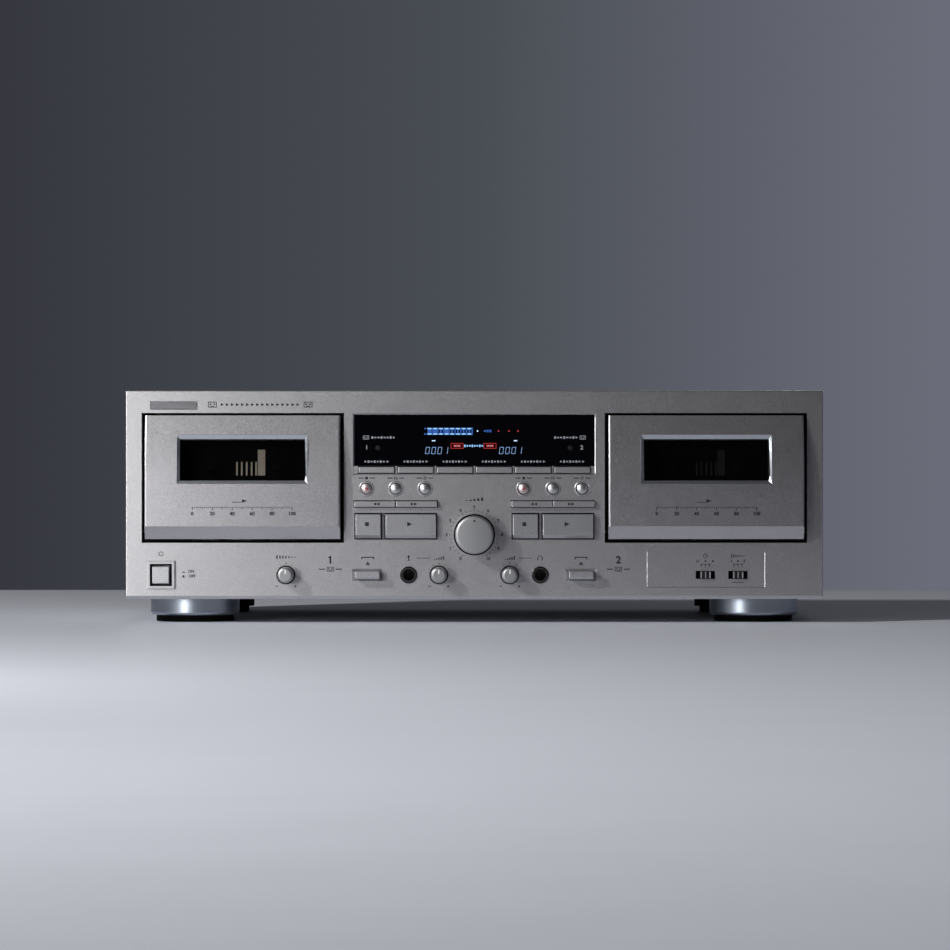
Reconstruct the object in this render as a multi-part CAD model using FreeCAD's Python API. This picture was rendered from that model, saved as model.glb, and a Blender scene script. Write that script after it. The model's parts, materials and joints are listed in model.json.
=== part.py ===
"""A double cassette deck: a full-width hi-fi component with two front-loading wells.

Lengths are millimetres.  X runs to the right, Y towards the back and Z up; the origin lies on
the floor under the middle of the whole outline.  Pieces that meet the front panel are placed by
their depth: the distance behind the panel's front face, negative where they stand in front of it.
"""
import FreeCAD
import Part
import math
import os

# ---- Case -----------------------------------------------------------------------------------
WIDTH = 435.0
BODY_DEPTH = 260.4
PANEL_HEIGHT = 130.0
PANEL_THICKNESS = 5.0
PANEL_EDGE_RADIUS = 0.8
PANEL_CHIN_HEIGHT = 2.0
PANEL_CHIN_DEPTH = 1.2
FEET_HEIGHT = 15.0
SHEET = 1.2
COVER_INSET = 1.5
COVER_DROP = 1.0
COVER_REAR_LIP = 12.0
CHASSIS_SIDE_LIP = 20.0
CHASSIS_FRONT_LIP = 4.0
CHASSIS_REAR_LIP = 12.0
REAR_TOP_FOLD = 12.0
FIT = 0.2
SHAFT_FIT = 0.05

VENT_LENGTH = 62.0
VENT_WIDTH = 3.0
VENT_PITCH = 8.0
VENT_COUNT = 12
VENT_X = 95.0
VENT_DEPTH = 120.0

# ---- Feet -----------------------------------------------------------------------------------
FOOT_INSET = 40.5
FOOT_RADIUS = 28.0
FOOT_EDGE_RADIUS = 2.0
FRONT_FOOT_DEPTH = 45.0
REAR_FOOT_DEPTH = 225.0
PAD_RADIUS = 24.5
PAD_HEIGHT = 4.0

# ---- Cassette doors -------------------------------------------------------------------------
DOOR_DISPLAY_GAP = 5.5
DOOR_OPENING_BOTTOM = 50.0
DOOR_OPENING_WIDTH = 126.2
DOOR_OPENING_HEIGHT = 81.0
DOOR_SIDE_GAP = 2.3
DOOR_TOP_GAP = 1.6
DOOR_BOTTOM_GAP = 2.4
DOOR_REACH = 7.45
DOOR_TOP_REACH = 2.0
DOOR_FOOT_REACH = 2.3
DOOR_CHIN_HEIGHT = 8.0
DOOR_FLAT_HEIGHT = 29.6
DOOR_BACK = 4.0
DOOR_WALL = 2.2
DOOR_EDGE_RADIUS = 1.0
HINGE_DEPTH = 2.5
HINGE_RISE = 7.0
HINGE_PIN_RADIUS = 1.0
HINGE_PIN_LENGTH = 2.5
HINGE_END_GAP = 0.5

WINDOW_RISE = 49.1
WINDOW_WIDTH = 77.8
WINDOW_HEIGHT = 25.1
WINDOW_MOUTH_WIDTH = 81.5
WINDOW_MOUTH_HEIGHT = 32.4
WINDOW_MOUTH_RISE = 1.5
WINDOW_DEPTH = 2.0
PANE_RIM = 2.0

# ---- Cassette holder and transport ----------------------------------------------------------
CASSETTE_WIDTH = 100.4
CASSETTE_HEIGHT = 63.8
CASSETTE_THICKNESS = 12.0
CASSETTE_RISE = 12.5
CASSETTE_FIT = 0.4
HUB_SPACING = 42.5
HUB_RISE = 34.6
CAPSTAN_X = 25.5
CAPSTAN_RISE = 7.1

HOLDER_SHEET = 1.2
HOLDER_WALL = 1.8
HOLDER_LIP = 4.6
HOLDER_LEDGE = 14.6

PLATE_DEPTH = 21.5
PLATE_THICKNESS = 2.0
WELL_WALL = 1.5
WELL_SIDE_ROOM = 2.9
WELL_BOTTOM_ROOM = 6.5
WELL_TOP_ROOM = 4.5

SPINDLE_RADIUS = 2.9
SPINDLE_FIN_RADIUS = 4.3
SPINDLE_FIN_WIDTH = 1.2
SPINDLE_FINS = 3
SPINDLE_REACH = 12.0
SPINDLE_NOSE = 2.0
REEL_TABLE_RADIUS = 7.8
REEL_TABLE_THICKNESS = 2.4
SPINDLE_SHAFT_RADIUS = 1.5
SPINDLE_BOSS_RADIUS = 3.4
SPINDLE_BOSS_LENGTH = 5.0
CLIP_RADIUS = 3.0
CLIP_THICKNESS = 0.8
CLIP_GAP = 0.5

CAPSTAN_RADIUS = 1.25
CAPSTAN_REACH = 14.0
CAPSTAN_BOSS_RADIUS = 4.5
CAPSTAN_BOSS_LENGTH = 7.5
FLYWHEEL_RADIUS = 24.0
FLYWHEEL_THICKNESS = 6.5
FLYWHEEL_GAP = 1.0
FLYWHEEL_RIM = 6.0
FLYWHEEL_HUB_RADIUS = 6.0
FLYWHEEL_DISH = 2.2
THRUST_GAP = 0.3
BRACKET_THICKNESS = 1.2
BRACKET_HEIGHT = 14.0
BRACKET_LEG = 3.0
MOTOR_RADIUS = 13.0
MOTOR_LENGTH = 19.0
MOTOR_EDGE_RADIUS = 1.5

BRIDGE_TRAVEL = 4.0
BRIDGE_WIDTH = 66.0
BRIDGE_HEIGHT = 15.0
BRIDGE_THICKNESS = 1.8
BRIDGE_TOP_BELOW_CASSETTE = 2.5
HEAD_WIDTH = 12.6
HEAD_HEIGHT = 11.0
HEAD_BELOW_CASSETTE = 1.0
HEAD_LENGTH = 11.0
ERASE_HEAD_WIDTH = 8.0
ERASE_HEAD_X = -21.0
STUD_X = 14.0
STUD_RADIUS = 1.5
STUD_HEAD_RADIUS = 2.6
STUD_HEAD_THICKNESS = 1.0
STUD_BELOW_BRIDGE_TOP = 6.0
PINCH_RADIUS = 5.0
PINCH_LENGTH = 6.5
PINCH_AXLE_RADIUS = 1.0
PINCH_AXLE_LENGTH = 9.0
PINCH_PLAY_GAP = 0.3

LIGHT_RIB_X = (-4.7, -1.7, 1.4, 4.5, 7.3)
LIGHT_RIB_WIDTH = 0.8
LIGHT_RIB_HEIGHT = 8.4
LIGHT_BLOCK_X = 10.7
LIGHT_BLOCK_WIDTH = 4.4
LIGHT_BLOCK_HEIGHT = 16.0
LIGHT_BELOW_HUB = 5.0
LIGHT_REACH = 3.1

# ---- Display --------------------------------------------------------------------------------
DISPLAY_WIDTH = 150.0
DISPLAY_HEIGHT = 32.1
DISPLAY_BOTTOM = 97.9
DISPLAY_RECESS = 0.8
DISPLAY_RIM = 2.0
DISPLAY_CHAMFER = 0.8
PANE_THICKNESS = 2.0
TUBE_SIDE_GAP = 1.0
TUBE_HEIGHT = 23.0
TUBE_RISE = 5.0
TUBE_THICKNESS = 6.0
STRIP_HEIGHT = 4.7

# ---- Keys and buttons -----------------------------------------------------------------------
KEY_GAP = 0.25
KEY_EDGE = 0.4
KEY_FLANGE_RIM = 0.9
KEY_FLANGE_THICKNESS = 1.0
KEY_STEM = 3.0
SWITCH_FRONT = 12.5
SWITCH_SIZE = 6.0
SWITCH_GAP = 0.2
KEY_TRAVEL = 1.0

ROW_KEYS = 6
ROW_KEY_HEIGHT = 3.7
ROW_KEY_SPLIT = 2.2
ROW_END_GAP = 1.8
ROW_KEY_REACH = 0.5

CLUSTER_INSET = 26.0
ROUND_Z = 83.8
ROUND_PITCH = 18.2
ROUND_RADIUS = 3.2
ROUND_REACH = 2.2
ROUND_DOME = 1.0
ROUND_GAP = 0.5
ROUND_RING_RADIUS = 4.85
ROUND_RING_HEIGHT = 0.6
ROUND_RING_SLOPE = 0.5

SHUTTLE_Z = 74.25
SHUTTLE_WIDTH = 25.6
SHUTTLE_HEIGHT = 3.65
SHUTTLE_SPLIT = 0.5
SHUTTLE_REACH = 3.0

PLAY_Z = 60.4
PLAY_ROW_HEIGHT = 15.0
STOP_WIDTH = 15.7
PLAY_WIDTH = 31.4
PLAY_DIVIDER = 3.0
PLAY_REACH = 3.6
PLAY_CHAMFER = 2.0
PLAY_FRAME_SLOPE = 0.6
PLAY_TRAVEL = 1.2

CONTROL_Z = 30.0
EJECT_X = 66.5
EJECT_WIDTH = 15.1
EJECT_HEIGHT = 4.9
EJECT_REACH = 7.6
EJECT_TRAVEL = 4.0
EJECT_FRAME_WIDTH = 19.4
EJECT_FRAME_HEIGHT = 7.7
EJECT_FRAME_SLOPE = 1.3
EJECT_CHAMFER = 1.2
EJECT_STEM_GAP = 1.5

POWER_INSET = 22.1
POWER_SIZE = 10.5
POWER_REACH = 3.2
POWER_TRAVEL = 3.0
POWER_BEZEL_SIZE = 17.6
POWER_BEZEL_REACH = 1.5
POWER_BEZEL_OPENING = 13.8
POWER_BEZEL_DEPTH = 1.5
POWER_GAP = 0.4

RESET_INSET = 15.0
RESET_Z = 109.2
RESET_RADIUS = 1.6
RESET_GAP = 0.2
RESET_REACH = 0.5
RESET_COLLAR_RADIUS = 2.4
RESET_COLLAR_THICKNESS = 1.0

# ---- Slide switches -------------------------------------------------------------------------
PLAQUE_WIDTH = 74.0
PLAQUE_HEIGHT = 22.5
PLAQUE_Z = 33.3
PLAQUE_RECESS = 0.4
TIMER_OFFSET = -0.3
NOISE_OFFSET = 20.0
SLIDER_WIDTH = 6.4
SLIDER_HEIGHT = 4.6
SLIDER_THROW = 2.6
SLIDER_REACH = 1.8
SLIDER_CAP_BACK = 3.4
SLIDER_STEM_WIDTH = 3.0
SLIDER_STEM_HEIGHT = 2.4
SLIDER_STEM_END = 11.5
SLIDER_RIB = 0.5
SLIDE_SWITCH_FRONT = 9.5
SLIDE_SWITCH_LENGTH = 14.0
SLIDE_SWITCH_HEIGHT = 7.0

# ---- Rotary knobs ---------------------------------------------------------------------------
REC_KNOB_Z = 55.1
REC_KNOB_RADIUS = 11.85
REC_KNOB_REACH = 15.6
REC_KNOB_EDGE = 1.6
REC_KNOB_DISH = 0.4
REC_KNOB_RIM = 1.4
REC_KNOB_DOT_RADIUS = 0.7
REC_KNOB_DOT_AT = 8.7
SMALL_KNOB_X = 22.1
PITCH_KNOB_OFFSET = 26.9
SMALL_KNOB_RADIUS = 4.7
SMALL_KNOB_SKIRT_RADIUS = 5.1
SMALL_KNOB_SKIRT = 1.4
SMALL_KNOB_REACH = 11.5
SMALL_KNOB_EDGE = 1.4
SMALL_KNOB_POINTER = 0.8
KNOB_WELL_GAP = 1.1
KNOB_WELL_DEPTH = 1.2
KNOB_LIFT = 0.4
KNOB_SHAFT_RADIUS = 3.0
KNOB_HOLE_GAP = 0.4
KNOB_SHAFT_END = 14.5
POT_FRONT = 8.0
POT_SIZE = 10.0
REC_POT_SIZE = 16.0

# ---- Sockets --------------------------------------------------------------------------------
JACK_X = 41.0
JACK_BORE_RADIUS = 3.25
JACK_BARREL_RADIUS = 4.5
JACK_BEZEL_RADIUS = 5.35
JACK_BEZEL_REACH = 0.9
JACK_BORE_END = 14.0
JACK_BODY_SIZE = 12.0
SOCKET_REACH = 10.0
SOCKET_RADIUS = 4.15
SOCKET_BORE_RADIUS = 1.6
SOCKET_NECK_RADIUS = 5.0
SOCKET_BORE_DEPTH = 9.0
SOCKET_PITCH = 20.0
SOCKET_INSETS = (177.5, 142.5, 92.5, 57.5)
SOCKET_Z = 62.0
SOCKET_BLOCK_WIDTH = 16.0
SOCKET_BLOCK_BODY = 12.0
INLET_INSET = 67.5
INLET_Z = 62.0
INLET_WIDTH = 24.0
INLET_HEIGHT = 16.0
INLET_RIM = 2.5
INLET_FLANGE = 1.0
INLET_BODY = 18.0
INLET_WALL = 1.25
INLET_RECESS = 14.0
INLET_PIN_RADIUS = 1.2
INLET_PIN_SPACING = 8.6
INLET_PIN_LENGTH = 9.0

# ---- Inside ---------------------------------------------------------------------------------
BOARD_DEPTH = 16.0
BOARD_THICKNESS = 1.6
BOARD_INSET = 1.0
BOARD_TOP = 136.0
STRIP_BOARD_BOTTOM = 19.5
STRIP_BOARD_TOP = 41.0
STRIP_LEFT_MARGIN = 12.6
STRIP_RIGHT_MARGIN = 25.6
POST_RADIUS = 2.0
POST_INSET = 3.0
UPPER_POST_INSET = 8.0
LEFT_POST_INSET = 26.0
RIGHT_POST_INSET = 4.0
MIDDLE_POSTS = ((-96.0, 36.0), (0.0, 36.0), (96.0, 36.0))
MAIN_BOARD_WIDTH = 250.0
MAIN_BOARD_LENGTH = 130.0
MAIN_BOARD_SIDE_GAP = 18.6
MAIN_BOARD_FRONT = 85.0
STANDOFF_HEIGHT = 8.0
STANDOFF_RADIUS = 3.0
STANDOFF_INSET = 6.0
CAPACITOR_PLACES = ((25.0, 25.0), (50.0, 25.0), (25.0, 55.0))
CAPACITOR_RADIUS = 9.0
CAPACITOR_HEIGHT = 32.0
HEAT_SINK_PLACE = (115.0, 20.0)
HEAT_SINK_WIDTH = 60.0
HEAT_SINK_HEIGHT = 34.0
HEAT_SINK_BASE = 3.0
HEAT_SINK_FIN = 1.6
HEAT_SINK_FINS = 7
HEAT_SINK_FIN_LENGTH = 14.0
CHIP_PLACES = ((85.0, 90.0), (125.0, 90.0), (175.0, 80.0), (220.0, 35.0))
CHIP_SIZE = 18.0
CHIP_HEIGHT = 3.0
TRANSFORMER_SIDE_GAP = 18.6
TRANSFORMER_DEPTH = 185.0
CORE_WIDTH = 66.0
CORE_LENGTH = 34.0
CORE_HEIGHT = 56.0
COIL_WIDTH = 40.0
COIL_LENGTH = 58.0
COIL_HEIGHT = 36.0
COIL_CORNER_RADIUS = 3.6
CORE_TAB = 12.0
CORE_TAB_THICKNESS = 3.0

# ---- Screws ---------------------------------------------------------------------------------
SCREW_RADIUS = 1.5
SCREW_HEAD_RADIUS = 3.0
SCREW_HEAD_HEIGHT = 1.3
SCREW_LENGTH = 6.0
SCREW_HOLE_GAP = 0.1
SCREW_CROSS_WIDTH = 0.7
SCREW_CROSS_DEPTH = 0.7
SIDE_SCREW_RISE = 10.0
SIDE_SCREW_DEPTHS = (60.0, 205.0)
REAR_SCREW_INSET = 27.5

# ---- Places worked out from the sizes above -------------------------------------------------
PANEL_Y = REC_KNOB_REACH - (REC_KNOB_REACH + BODY_DEPTH + SOCKET_REACH) / 2
PANEL_TOP = FEET_HEIGHT + PANEL_HEIGHT
FLOOR_TOP = FEET_HEIGHT + SHEET
COVER_TOP = PANEL_TOP - COVER_DROP
COVER_HALF = WIDTH / 2 - COVER_INSET
TRAY_HALF = COVER_HALF - SHEET
REAR_INNER = BODY_DEPTH - SHEET
FOOT_X = WIDTH / 2 - FOOT_INSET
DECK_X = DISPLAY_WIDTH / 2 + DISPLAY_CHAMFER + DOOR_DISPLAY_GAP + DOOR_OPENING_WIDTH / 2
POWER_X = WIDTH / 2 - POWER_INSET
CLUSTER_X = DISPLAY_WIDTH / 2 - CLUSTER_INSET
RESET_X = DISPLAY_WIDTH / 2 - RESET_INSET
TIMER_X = DECK_X + TIMER_OFFSET
NOISE_X = DECK_X + NOISE_OFFSET
PITCH_KNOB_X = DECK_X - PITCH_KNOB_OFFSET
ROW_KEY_PITCH = (DISPLAY_WIDTH - 2 * ROW_END_GAP) / ROW_KEYS
ROW_KEY_WIDTH = ROW_KEY_PITCH - ROW_KEY_SPLIT
DOOR_WIDTH = DOOR_OPENING_WIDTH - 2 * DOOR_SIDE_GAP
DOOR_BOTTOM = DOOR_OPENING_BOTTOM + DOOR_BOTTOM_GAP
DOOR_TOP = DOOR_OPENING_BOTTOM + DOOR_OPENING_HEIGHT - DOOR_TOP_GAP
WINDOW_Z = DOOR_BOTTOM + WINDOW_RISE
HINGE_Z = DOOR_OPENING_BOTTOM + HINGE_RISE
CASSETTE_BOTTOM = DOOR_OPENING_BOTTOM + CASSETTE_RISE
CASSETTE_TOP = CASSETTE_BOTTOM + CASSETTE_HEIGHT
HOLDER_FRONT = DOOR_BACK
POCKET_FRONT = HOLDER_FRONT + HOLDER_SHEET
POCKET_BACK = POCKET_FRONT + CASSETTE_THICKNESS + 2 * CASSETTE_FIT
POCKET_HALF = CASSETTE_WIDTH / 2 + CASSETTE_FIT
HUB_Z = CASSETTE_BOTTOM + HUB_RISE
CAPSTAN_Z = CASSETTE_BOTTOM + CAPSTAN_RISE
PLATE_BACK = PLATE_DEPTH + PLATE_THICKNESS
WELL_HALF = DOOR_OPENING_WIDTH / 2 + WELL_SIDE_ROOM
WELL_BOTTOM = DOOR_OPENING_BOTTOM - WELL_BOTTOM_ROOM
WELL_TOP = DOOR_OPENING_BOTTOM + DOOR_OPENING_HEIGHT + WELL_TOP_ROOM
BRIDGE_TOP = CASSETTE_BOTTOM - BRIDGE_TOP_BELOW_CASSETTE
BRIDGE_BACK = PLATE_DEPTH - FIT
BRIDGE_FRONT = BRIDGE_BACK - BRIDGE_THICKNESS
STUD_Z = BRIDGE_TOP - STUD_BELOW_BRIDGE_TOP
PINCH_Z = CAPSTAN_Z - CAPSTAN_RADIUS - PINCH_RADIUS - PINCH_PLAY_GAP - BRIDGE_TRAVEL
FLYWHEEL_FRONT = PLATE_DEPTH + CAPSTAN_BOSS_LENGTH + FLYWHEEL_GAP
FLYWHEEL_BACK = FLYWHEEL_FRONT + FLYWHEEL_THICKNESS
BRACKET_FRONT = FLYWHEEL_BACK + 2 * FLYWHEEL_GAP
BRACKET_HALF = FLYWHEEL_RADIUS + FLYWHEEL_GAP + BRACKET_LEG
DISPLAY_Z = DISPLAY_BOTTOM + DISPLAY_HEIGHT / 2
TUBE_HALF = RESET_X - RESET_COLLAR_RADIUS - TUBE_SIDE_GAP
STRIP_Z = DISPLAY_BOTTOM - STRIP_HEIGHT / 2
PANE_BACK = DISPLAY_RECESS + PANE_THICKNESS
KEY_FLANGE_FRONT = PANEL_THICKNESS + FIT
KEY_FLANGE_BACK = KEY_FLANGE_FRONT + KEY_FLANGE_THICKNESS
STOP_OFFSET = -(PLAY_WIDTH + PLAY_DIVIDER) / 2
PLAY_OFFSET = (STOP_WIDTH + PLAY_DIVIDER) / 2
PLAY_ROW_WIDTH = STOP_WIDTH + PLAY_DIVIDER + PLAY_WIDTH
SHUTTLE_OFFSET = (SHUTTLE_WIDTH + SHUTTLE_SPLIT) / 2
EJECT_STEM_END = BOARD_DEPTH - EJECT_TRAVEL - EJECT_STEM_GAP
SLIDER_SLOT_WIDTH = SLIDER_WIDTH + 2 * (SLIDER_THROW + FIT)
SLIDER_SLOT_HEIGHT = SLIDER_HEIGHT + 2 * KEY_GAP
DECKS = ((1, -DECK_X, -CLUSTER_X, -EJECT_X, -RESET_X), (2, DECK_X, CLUSTER_X, EJECT_X, RESET_X))
BOARD_HALF_WIDTH = DISPLAY_WIDTH / 2 - BOARD_INSET
STRIP_BOARD_LEFT = -POWER_X - STRIP_LEFT_MARGIN
STRIP_BOARD_RIGHT = NOISE_X + STRIP_RIGHT_MARGIN
POST_PLACES = MIDDLE_POSTS + (
    (UPPER_POST_INSET - BOARD_HALF_WIDTH, BOARD_TOP - POST_INSET),
    (BOARD_HALF_WIDTH - UPPER_POST_INSET, BOARD_TOP - POST_INSET),
    (STRIP_BOARD_LEFT + LEFT_POST_INSET, STRIP_BOARD_BOTTOM + POST_INSET),
    (STRIP_BOARD_RIGHT - RIGHT_POST_INSET, STRIP_BOARD_BOTTOM + POST_INSET))
MAIN_BOARD_RIGHT = TRAY_HALF - SHEET - MAIN_BOARD_SIDE_GAP
MAIN_BOARD_LEFT = MAIN_BOARD_RIGHT - MAIN_BOARD_WIDTH
TRANSFORMER_X = -(TRAY_HALF - SHEET - TRANSFORMER_SIDE_GAP - CORE_TAB - CORE_WIDTH / 2)
SOCKET_X = tuple(WIDTH / 2 - inset for inset in SOCKET_INSETS)
INLET_X = INLET_INSET - WIDTH / 2
REAR_SCREW_X = (REAR_SCREW_INSET - WIDTH / 2, 0.0, WIDTH / 2 - REAR_SCREW_INSET)
SKIN = 1.0
TOUCH = 1e-4


# ---- Shaping helpers ------------------------------------------------------------------------
def at(x, depth, z):
    """The point at x, a depth behind the panel's front face, and z."""
    return FreeCAD.Vector(x, PANEL_Y + depth, z)


def block(x_range, depth_range, z_range):
    """A box between three pairs of limits."""
    (x0, x1), (d0, d1), (z0, z1) = x_range, depth_range, z_range
    return Part.makeBox(x1 - x0, d1 - d0, z1 - z0, at(x0, d0, z0))


def slab(x, z, width, height, front, back):
    """A box centred at x and z that runs from one depth to another."""
    return Part.makeBox(width, back - front, height, at(x - width / 2, front, z - height / 2))


def rod(x, z, radius, front, back):
    """A cylinder along Y from one depth to another."""
    return Part.makeCylinder(radius, back - front, at(x, front, z), FreeCAD.Vector(0, 1, 0))


def pillar(x, depth, radius, bottom, top):
    """An upright cylinder."""
    return Part.makeCylinder(radius, top - bottom, at(x, depth, bottom))


def turned(x, z, outline):
    """A solid turned about the Y line through x and z from (radius, depth) corners."""
    corners = [at(x + radius, depth, z) for radius, depth in outline]
    face = Part.Face(Part.makePolygon(corners + corners[:1]))
    return face.revolve(at(x, 0, z), FreeCAD.Vector(0, 1, 0), 360)


def funnel(front_rect, back_rect, front, back):
    """A straight-sided taper between two (x, z, width, height) rectangles."""
    wires = []
    for (x, z, width, height), depth in ((front_rect, front), (back_rect, back)):
        signs = ((-1, -1), (1, -1), (1, 1), (-1, 1))
        corners = [at(x + sx * width / 2, depth, z + sz * height / 2) for sx, sz in signs]
        wires.append(Part.makePolygon(corners + corners[:1]))
    return Part.makeLoft(wires, True, True)


def upright_edges(shape):
    """The edges of a shape that run straight up."""
    return [e for e in shape.Edges if e.BoundBox.XLength + e.BoundBox.YLength < TOUCH]


def edges_at_depth(shape, depth):
    """The edges that lie wholly at one depth."""
    y = PANEL_Y + depth
    return [e for e in shape.Edges if abs(e.BoundBox.YMin - y) + abs(e.BoundBox.YMax - y) < TOUCH]


def softened(shape, depth, radius):
    """The shape with its edges at one depth rounded."""
    return shape.makeFillet(radius, edges_at_depth(shape, depth))


def bevelled_foot(shape, x, z, width, height, reach, size):
    """A key's cap with the lower front edge cut back at a slant."""
    low = z - height / 2
    corners = [at(x - width / 2, depth, level) for depth, level in
               ((-reach, low + size), (-reach, low), (-reach + size, low))]
    wedge = Part.Face(Part.makePolygon(corners + corners[:1]))
    return shape.cut(wedge.extrude(FreeCAD.Vector(width, 0, 0)))


# ---- Front panel ----------------------------------------------------------------------------
def row_key_places():
    """The middles of the keys under the display, from left to right."""
    return [(index - (ROW_KEYS - 1) / 2) * ROW_KEY_PITCH for index in range(ROW_KEYS)]


def panel_plate():
    """The bare plate: rounded front edges and a slanted chin along the bottom."""
    plate = slab(0, FEET_HEIGHT + PANEL_HEIGHT / 2, WIDTH, PANEL_HEIGHT, 0, PANEL_THICKNESS)
    plate = softened(plate, 0, PANEL_EDGE_RADIUS)
    corners = [at(-WIDTH / 2 - SKIN, depth, z) for depth, z in
               ((0, FEET_HEIGHT + PANEL_CHIN_HEIGHT), (-SKIN, FEET_HEIGHT + PANEL_CHIN_HEIGHT),
                (-SKIN, FEET_HEIGHT - SKIN), (PANEL_CHIN_DEPTH, FEET_HEIGHT - SKIN),
                (PANEL_CHIN_DEPTH, FEET_HEIGHT))]
    chin = Part.Face(Part.makePolygon(corners + corners[:1]))
    return plate.cut(chin.extrude(FreeCAD.Vector(WIDTH + 2 * SKIN, 0, 0)))


def panel_hole(x, z, width, height):
    """A cutter through the panel with straight sides."""
    return slab(x, z, width, height, -SKIN, PANEL_THICKNESS + SKIN)


def panel_bore(x, z, radius):
    """A round cutter through the panel."""
    return rod(x, z, radius, -SKIN, PANEL_THICKNESS + SKIN)


def key_frame(x, z, width, height, slope):
    """A cutter for a sloping frame around a key."""
    outer = (x, z, width, height)
    inner = (x, z, width - 2 * slope, height - 2 * slope)
    return funnel(outer, inner, 0, slope).fuse(slab(x, z, width, height, -SKIN, 0))


def deck_cutters(deck_x, cluster_x, eject_x, reset_x):
    """Every opening that belongs to one of the two decks."""
    door_z = DOOR_OPENING_BOTTOM + DOOR_OPENING_HEIGHT / 2
    cutters = [panel_hole(deck_x, door_z, DOOR_OPENING_WIDTH, DOOR_OPENING_HEIGHT)]
    bore_half = DOOR_OPENING_WIDTH / 2 + HINGE_PIN_LENGTH + HINGE_END_GAP
    cutters.append(Part.makeCylinder(HINGE_PIN_RADIUS + SHAFT_FIT, 2 * bore_half,
                                     at(deck_x - bore_half, HINGE_DEPTH, HINGE_Z),
                                     FreeCAD.Vector(1, 0, 0)))
    for offset in (-ROUND_PITCH, 0, ROUND_PITCH):
        cutters.append(panel_bore(cluster_x + offset, ROUND_Z, ROUND_RADIUS + ROUND_GAP))
    cutters.append(panel_hole(cluster_x, SHUTTLE_Z,
                              2 * SHUTTLE_WIDTH + SHUTTLE_SPLIT + 2 * KEY_GAP,
                              SHUTTLE_HEIGHT + 2 * KEY_GAP))
    frame_margin = 2 * (KEY_GAP + PLAY_FRAME_SLOPE)
    cutters.append(key_frame(cluster_x, PLAY_Z, PLAY_ROW_WIDTH + frame_margin,
                             PLAY_ROW_HEIGHT + frame_margin, PLAY_FRAME_SLOPE))
    for offset, width in ((STOP_OFFSET, STOP_WIDTH), (PLAY_OFFSET, PLAY_WIDTH)):
        cutters.append(panel_hole(cluster_x + offset, PLAY_Z, width + 2 * KEY_GAP,
                                  PLAY_ROW_HEIGHT + 2 * KEY_GAP))
    cutters.append(key_frame(eject_x, CONTROL_Z, EJECT_FRAME_WIDTH, EJECT_FRAME_HEIGHT,
                             EJECT_FRAME_SLOPE))
    cutters.append(panel_hole(eject_x, CONTROL_Z, EJECT_FRAME_WIDTH - 2 * EJECT_FRAME_SLOPE,
                              EJECT_FRAME_HEIGHT - 2 * EJECT_FRAME_SLOPE))
    cutters.append(panel_bore(reset_x, RESET_Z, RESET_COLLAR_RADIUS + KEY_GAP))
    return cutters


def display_cutters():
    """The seat of the display pane, the opening behind it and the row of key slots."""
    recess_height = DISPLAY_HEIGHT + STRIP_HEIGHT
    recess_z = DISPLAY_BOTTOM - STRIP_HEIGHT + recess_height / 2
    cutters = [key_frame(0, recess_z, DISPLAY_WIDTH + 2 * DISPLAY_CHAMFER,
                         recess_height + 2 * DISPLAY_CHAMFER, DISPLAY_CHAMFER),
               slab(0, recess_z, DISPLAY_WIDTH, recess_height, -SKIN, DISPLAY_RECESS),
               slab(0, DISPLAY_Z, DISPLAY_WIDTH, DISPLAY_HEIGHT, 0, PANE_BACK),
               panel_hole(0, DISPLAY_Z, DISPLAY_WIDTH - 2 * DISPLAY_RIM,
                          DISPLAY_HEIGHT - 2 * DISPLAY_RIM)]
    for x in row_key_places():
        cutters.append(panel_hole(x, STRIP_Z, ROW_KEY_WIDTH + 2 * KEY_GAP,
                                  ROW_KEY_HEIGHT + 2 * KEY_GAP))
    return cutters


def knob_cutters():
    """A shallow well and a shaft hole for each knob."""
    knobs = [(0, REC_KNOB_Z, REC_KNOB_RADIUS)]
    for x in (-PITCH_KNOB_X, -SMALL_KNOB_X, SMALL_KNOB_X):
        knobs.append((x, CONTROL_Z, SMALL_KNOB_SKIRT_RADIUS))
    cutters = []
    for x, z, radius in knobs:
        cutters.append(rod(x, z, radius + KNOB_WELL_GAP, -SKIN, KNOB_WELL_DEPTH))
        cutters.append(panel_bore(x, z, KNOB_SHAFT_RADIUS + KNOB_HOLE_GAP))
    return cutters


def switch_cutters():
    """The power key's hole, the sunken plaque and the two slider slots."""
    inner = POWER_SIZE + 2 * POWER_GAP
    cutters = [panel_hole(-POWER_X, CONTROL_Z, inner, inner),
               slab(DECK_X, PLAQUE_Z, PLAQUE_WIDTH, PLAQUE_HEIGHT, -SKIN, PLAQUE_RECESS)]
    for x in (TIMER_X, NOISE_X):
        cutters.append(panel_hole(x, CONTROL_Z, SLIDER_SLOT_WIDTH, SLIDER_SLOT_HEIGHT))
    for x in (-JACK_X, JACK_X):
        cutters.append(panel_bore(x, CONTROL_Z, JACK_BARREL_RADIUS + SHAFT_FIT))
    return cutters


def power_bezel():
    """The raised square frame around the power key, with a sloping inside."""
    bezel = slab(-POWER_X, CONTROL_Z, POWER_BEZEL_SIZE, POWER_BEZEL_SIZE,
                 -POWER_BEZEL_REACH, SKIN)
    bezel = softened(bezel, -POWER_BEZEL_REACH, POWER_BEZEL_REACH / 3)
    inner = POWER_SIZE + 2 * POWER_GAP
    mouth = funnel((-POWER_X, CONTROL_Z, POWER_BEZEL_OPENING, POWER_BEZEL_OPENING),
                   (-POWER_X, CONTROL_Z, inner, inner), -POWER_BEZEL_REACH, POWER_BEZEL_DEPTH)
    return bezel, mouth


def button_ring(x):
    """The raised ring around a round button."""
    base = ROUND_RING_RADIUS
    return turned(x, ROUND_Z, ((0, SKIN), (base, SKIN), (base, 0),
                               (base - ROUND_RING_SLOPE, -ROUND_RING_HEIGHT),
                               (0, -ROUND_RING_HEIGHT)))


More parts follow.
